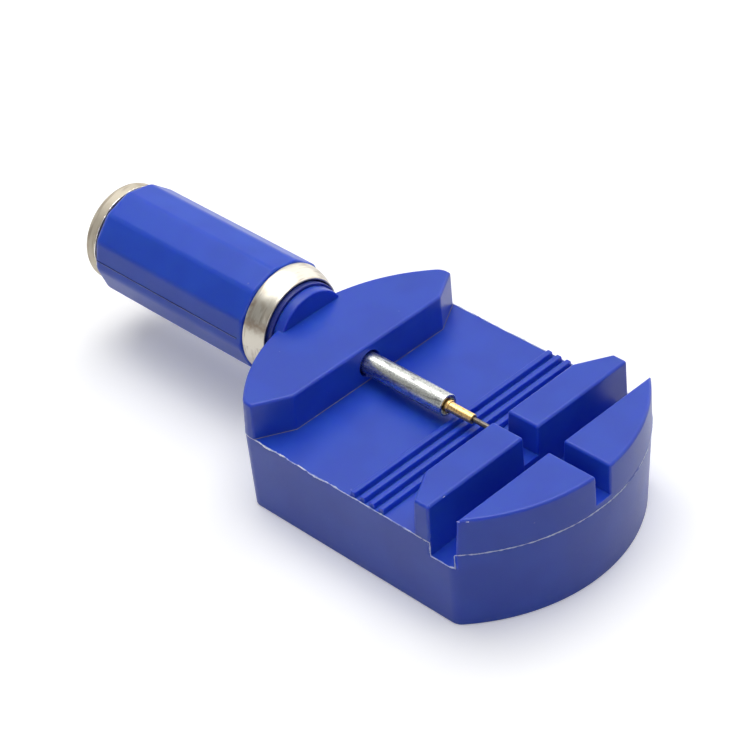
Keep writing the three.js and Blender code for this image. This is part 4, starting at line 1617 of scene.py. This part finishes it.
rim_angles = [2 * math.pi * k / RIM_STEPS for k in range(RIM_STEPS)]
cap_rim = [around(CAP_FRONT_X - BURR_INSET, CAP_RADIUS, angle) for angle in rim_angles]
bead("cap_burr", [cap_rim], bright_nickel, "handle", "nickel",
     spacing=0.14, thickness=0.17, unevenness=1.3, shake=0.07, closed=True)

# %% [markdown]
# The studio is a white tent: a large soft box overhead gives the light, and the walls give a dim
# fill. The floor reflects less light into the object than the eye sees in it, and it glows a little
# too, so that the background is white while the object's shadow still shows. In gloss, the tent is
# white as well, but greyer on the side where the camera looks in.

# %% Studio
FLOOR_SIZE = 6.0
FLOOR_BOUNCE = (0.48, 0.48, 0.48, 1)
FLOOR_SEEN = (1.0, 1.0, 1.0, 1)
FLOOR_GLOW = 0.16
FILL_LEVEL = 0.16
OPENING_SIDE = Vector((0.05, -0.95, 0.28)).normalized()
OPENING_LEVEL = 0.35


def seen_directly(tree):
    """1 for the rays that show a surface to the eye: straight, mirrored or through glass."""
    path = node(tree, "ShaderNodeLightPath").outputs
    seen = calc(tree, "ADD", path["Is Camera Ray"], path["Is Glossy Ray"])
    return calc(tree, "ADD", seen, path["Is Transmission Ray"], clamp=True)


def make_floor():
    shape = bmesh.new()
    bmesh.ops.create_grid(shape, x_segments=1, y_segments=1, size=FLOOR_SIZE / 2)
    floor = object_from("floor", shape)
    material, tree, shader = new_material(
        "floor", Roughness=1.0, Emission_Color=(1, 1, 1, 1), Specular_IOR_Level=0.0,
    )
    seen = seen_directly(tree)
    feed(
        tree, shader, Base_Color=mix_colours(tree, seen, FLOOR_BOUNCE, FLOOR_SEEN),
        Emission_Strength=calc(tree, "MULTIPLY", seen, FLOOR_GLOW),
    )
    floor.data.materials.append(material)
    floor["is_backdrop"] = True


def make_softbox(name, place, size, power):
    lamp = bpy.data.lights.new(name, "AREA")
    lamp.shape = "SQUARE"
    lamp.size = size
    lamp.energy = power
    softbox = bpy.data.objects.new(name, lamp)
    softbox.location = place
    aim = (cad_low + cad_high) / 2 - Vector(place)
    softbox.rotation_euler = aim.to_track_quat("-Z", "Y").to_euler()
    bpy.context.scene.collection.objects.link(softbox)


def make_world():
    """White to the eye and dim as a light. Gloss sees a greyer patch towards the tent's opening."""
    world = bpy.data.worlds.new("white tent")
    world.use_nodes = True
    tree = world.node_tree
    background = tree.nodes["Background"]
    background.inputs["Color"].default_value = (1, 1, 1, 1)
    direction = node(tree, "ShaderNodeTexCoord").outputs["Generated"]
    inputs = {0: direction, 1: OPENING_SIDE}
    towards = node(tree, "ShaderNodeVectorMath", inputs, operation="DOT_PRODUCT").outputs["Value"]
    in_gloss = node(tree, "ShaderNodeLightPath").outputs["Is Glossy Ray"]
    greyer = times(tree, times(tree, ramp(tree, towards, 0.0, 0.9), in_gloss), 1 - OPENING_LEVEL)
    level = remap(tree, seen_directly(tree), 0.0, 1.0, FILL_LEVEL, 1.0)
    tree.links.new(minus(tree, level, greyer), background.inputs["Strength"])
    bpy.context.scene.world = world


make_floor()
make_softbox("overhead", (-0.14, 0.12, 0.94), size=0.95, power=8.6)
make_softbox("back", (-0.10, 0.85, 0.28), size=0.8, power=1.8)
make_softbox("front", (0.48, -0.68, 0.34), size=0.35, power=1.1)
make_world()
bpy.context.scene.view_settings.view_transform = "Standard"

# %% [markdown]
# The last cell notes the box of the imported model and the box of the dressed one.

# %% Sizes
dressed_low, dressed_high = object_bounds()
growth = (dressed_high - dressed_low) - (cad_high - cad_low)
for name, length in zip("xyz", growth):
    print(name, "grows by", round(length / MM, 3), "mm")
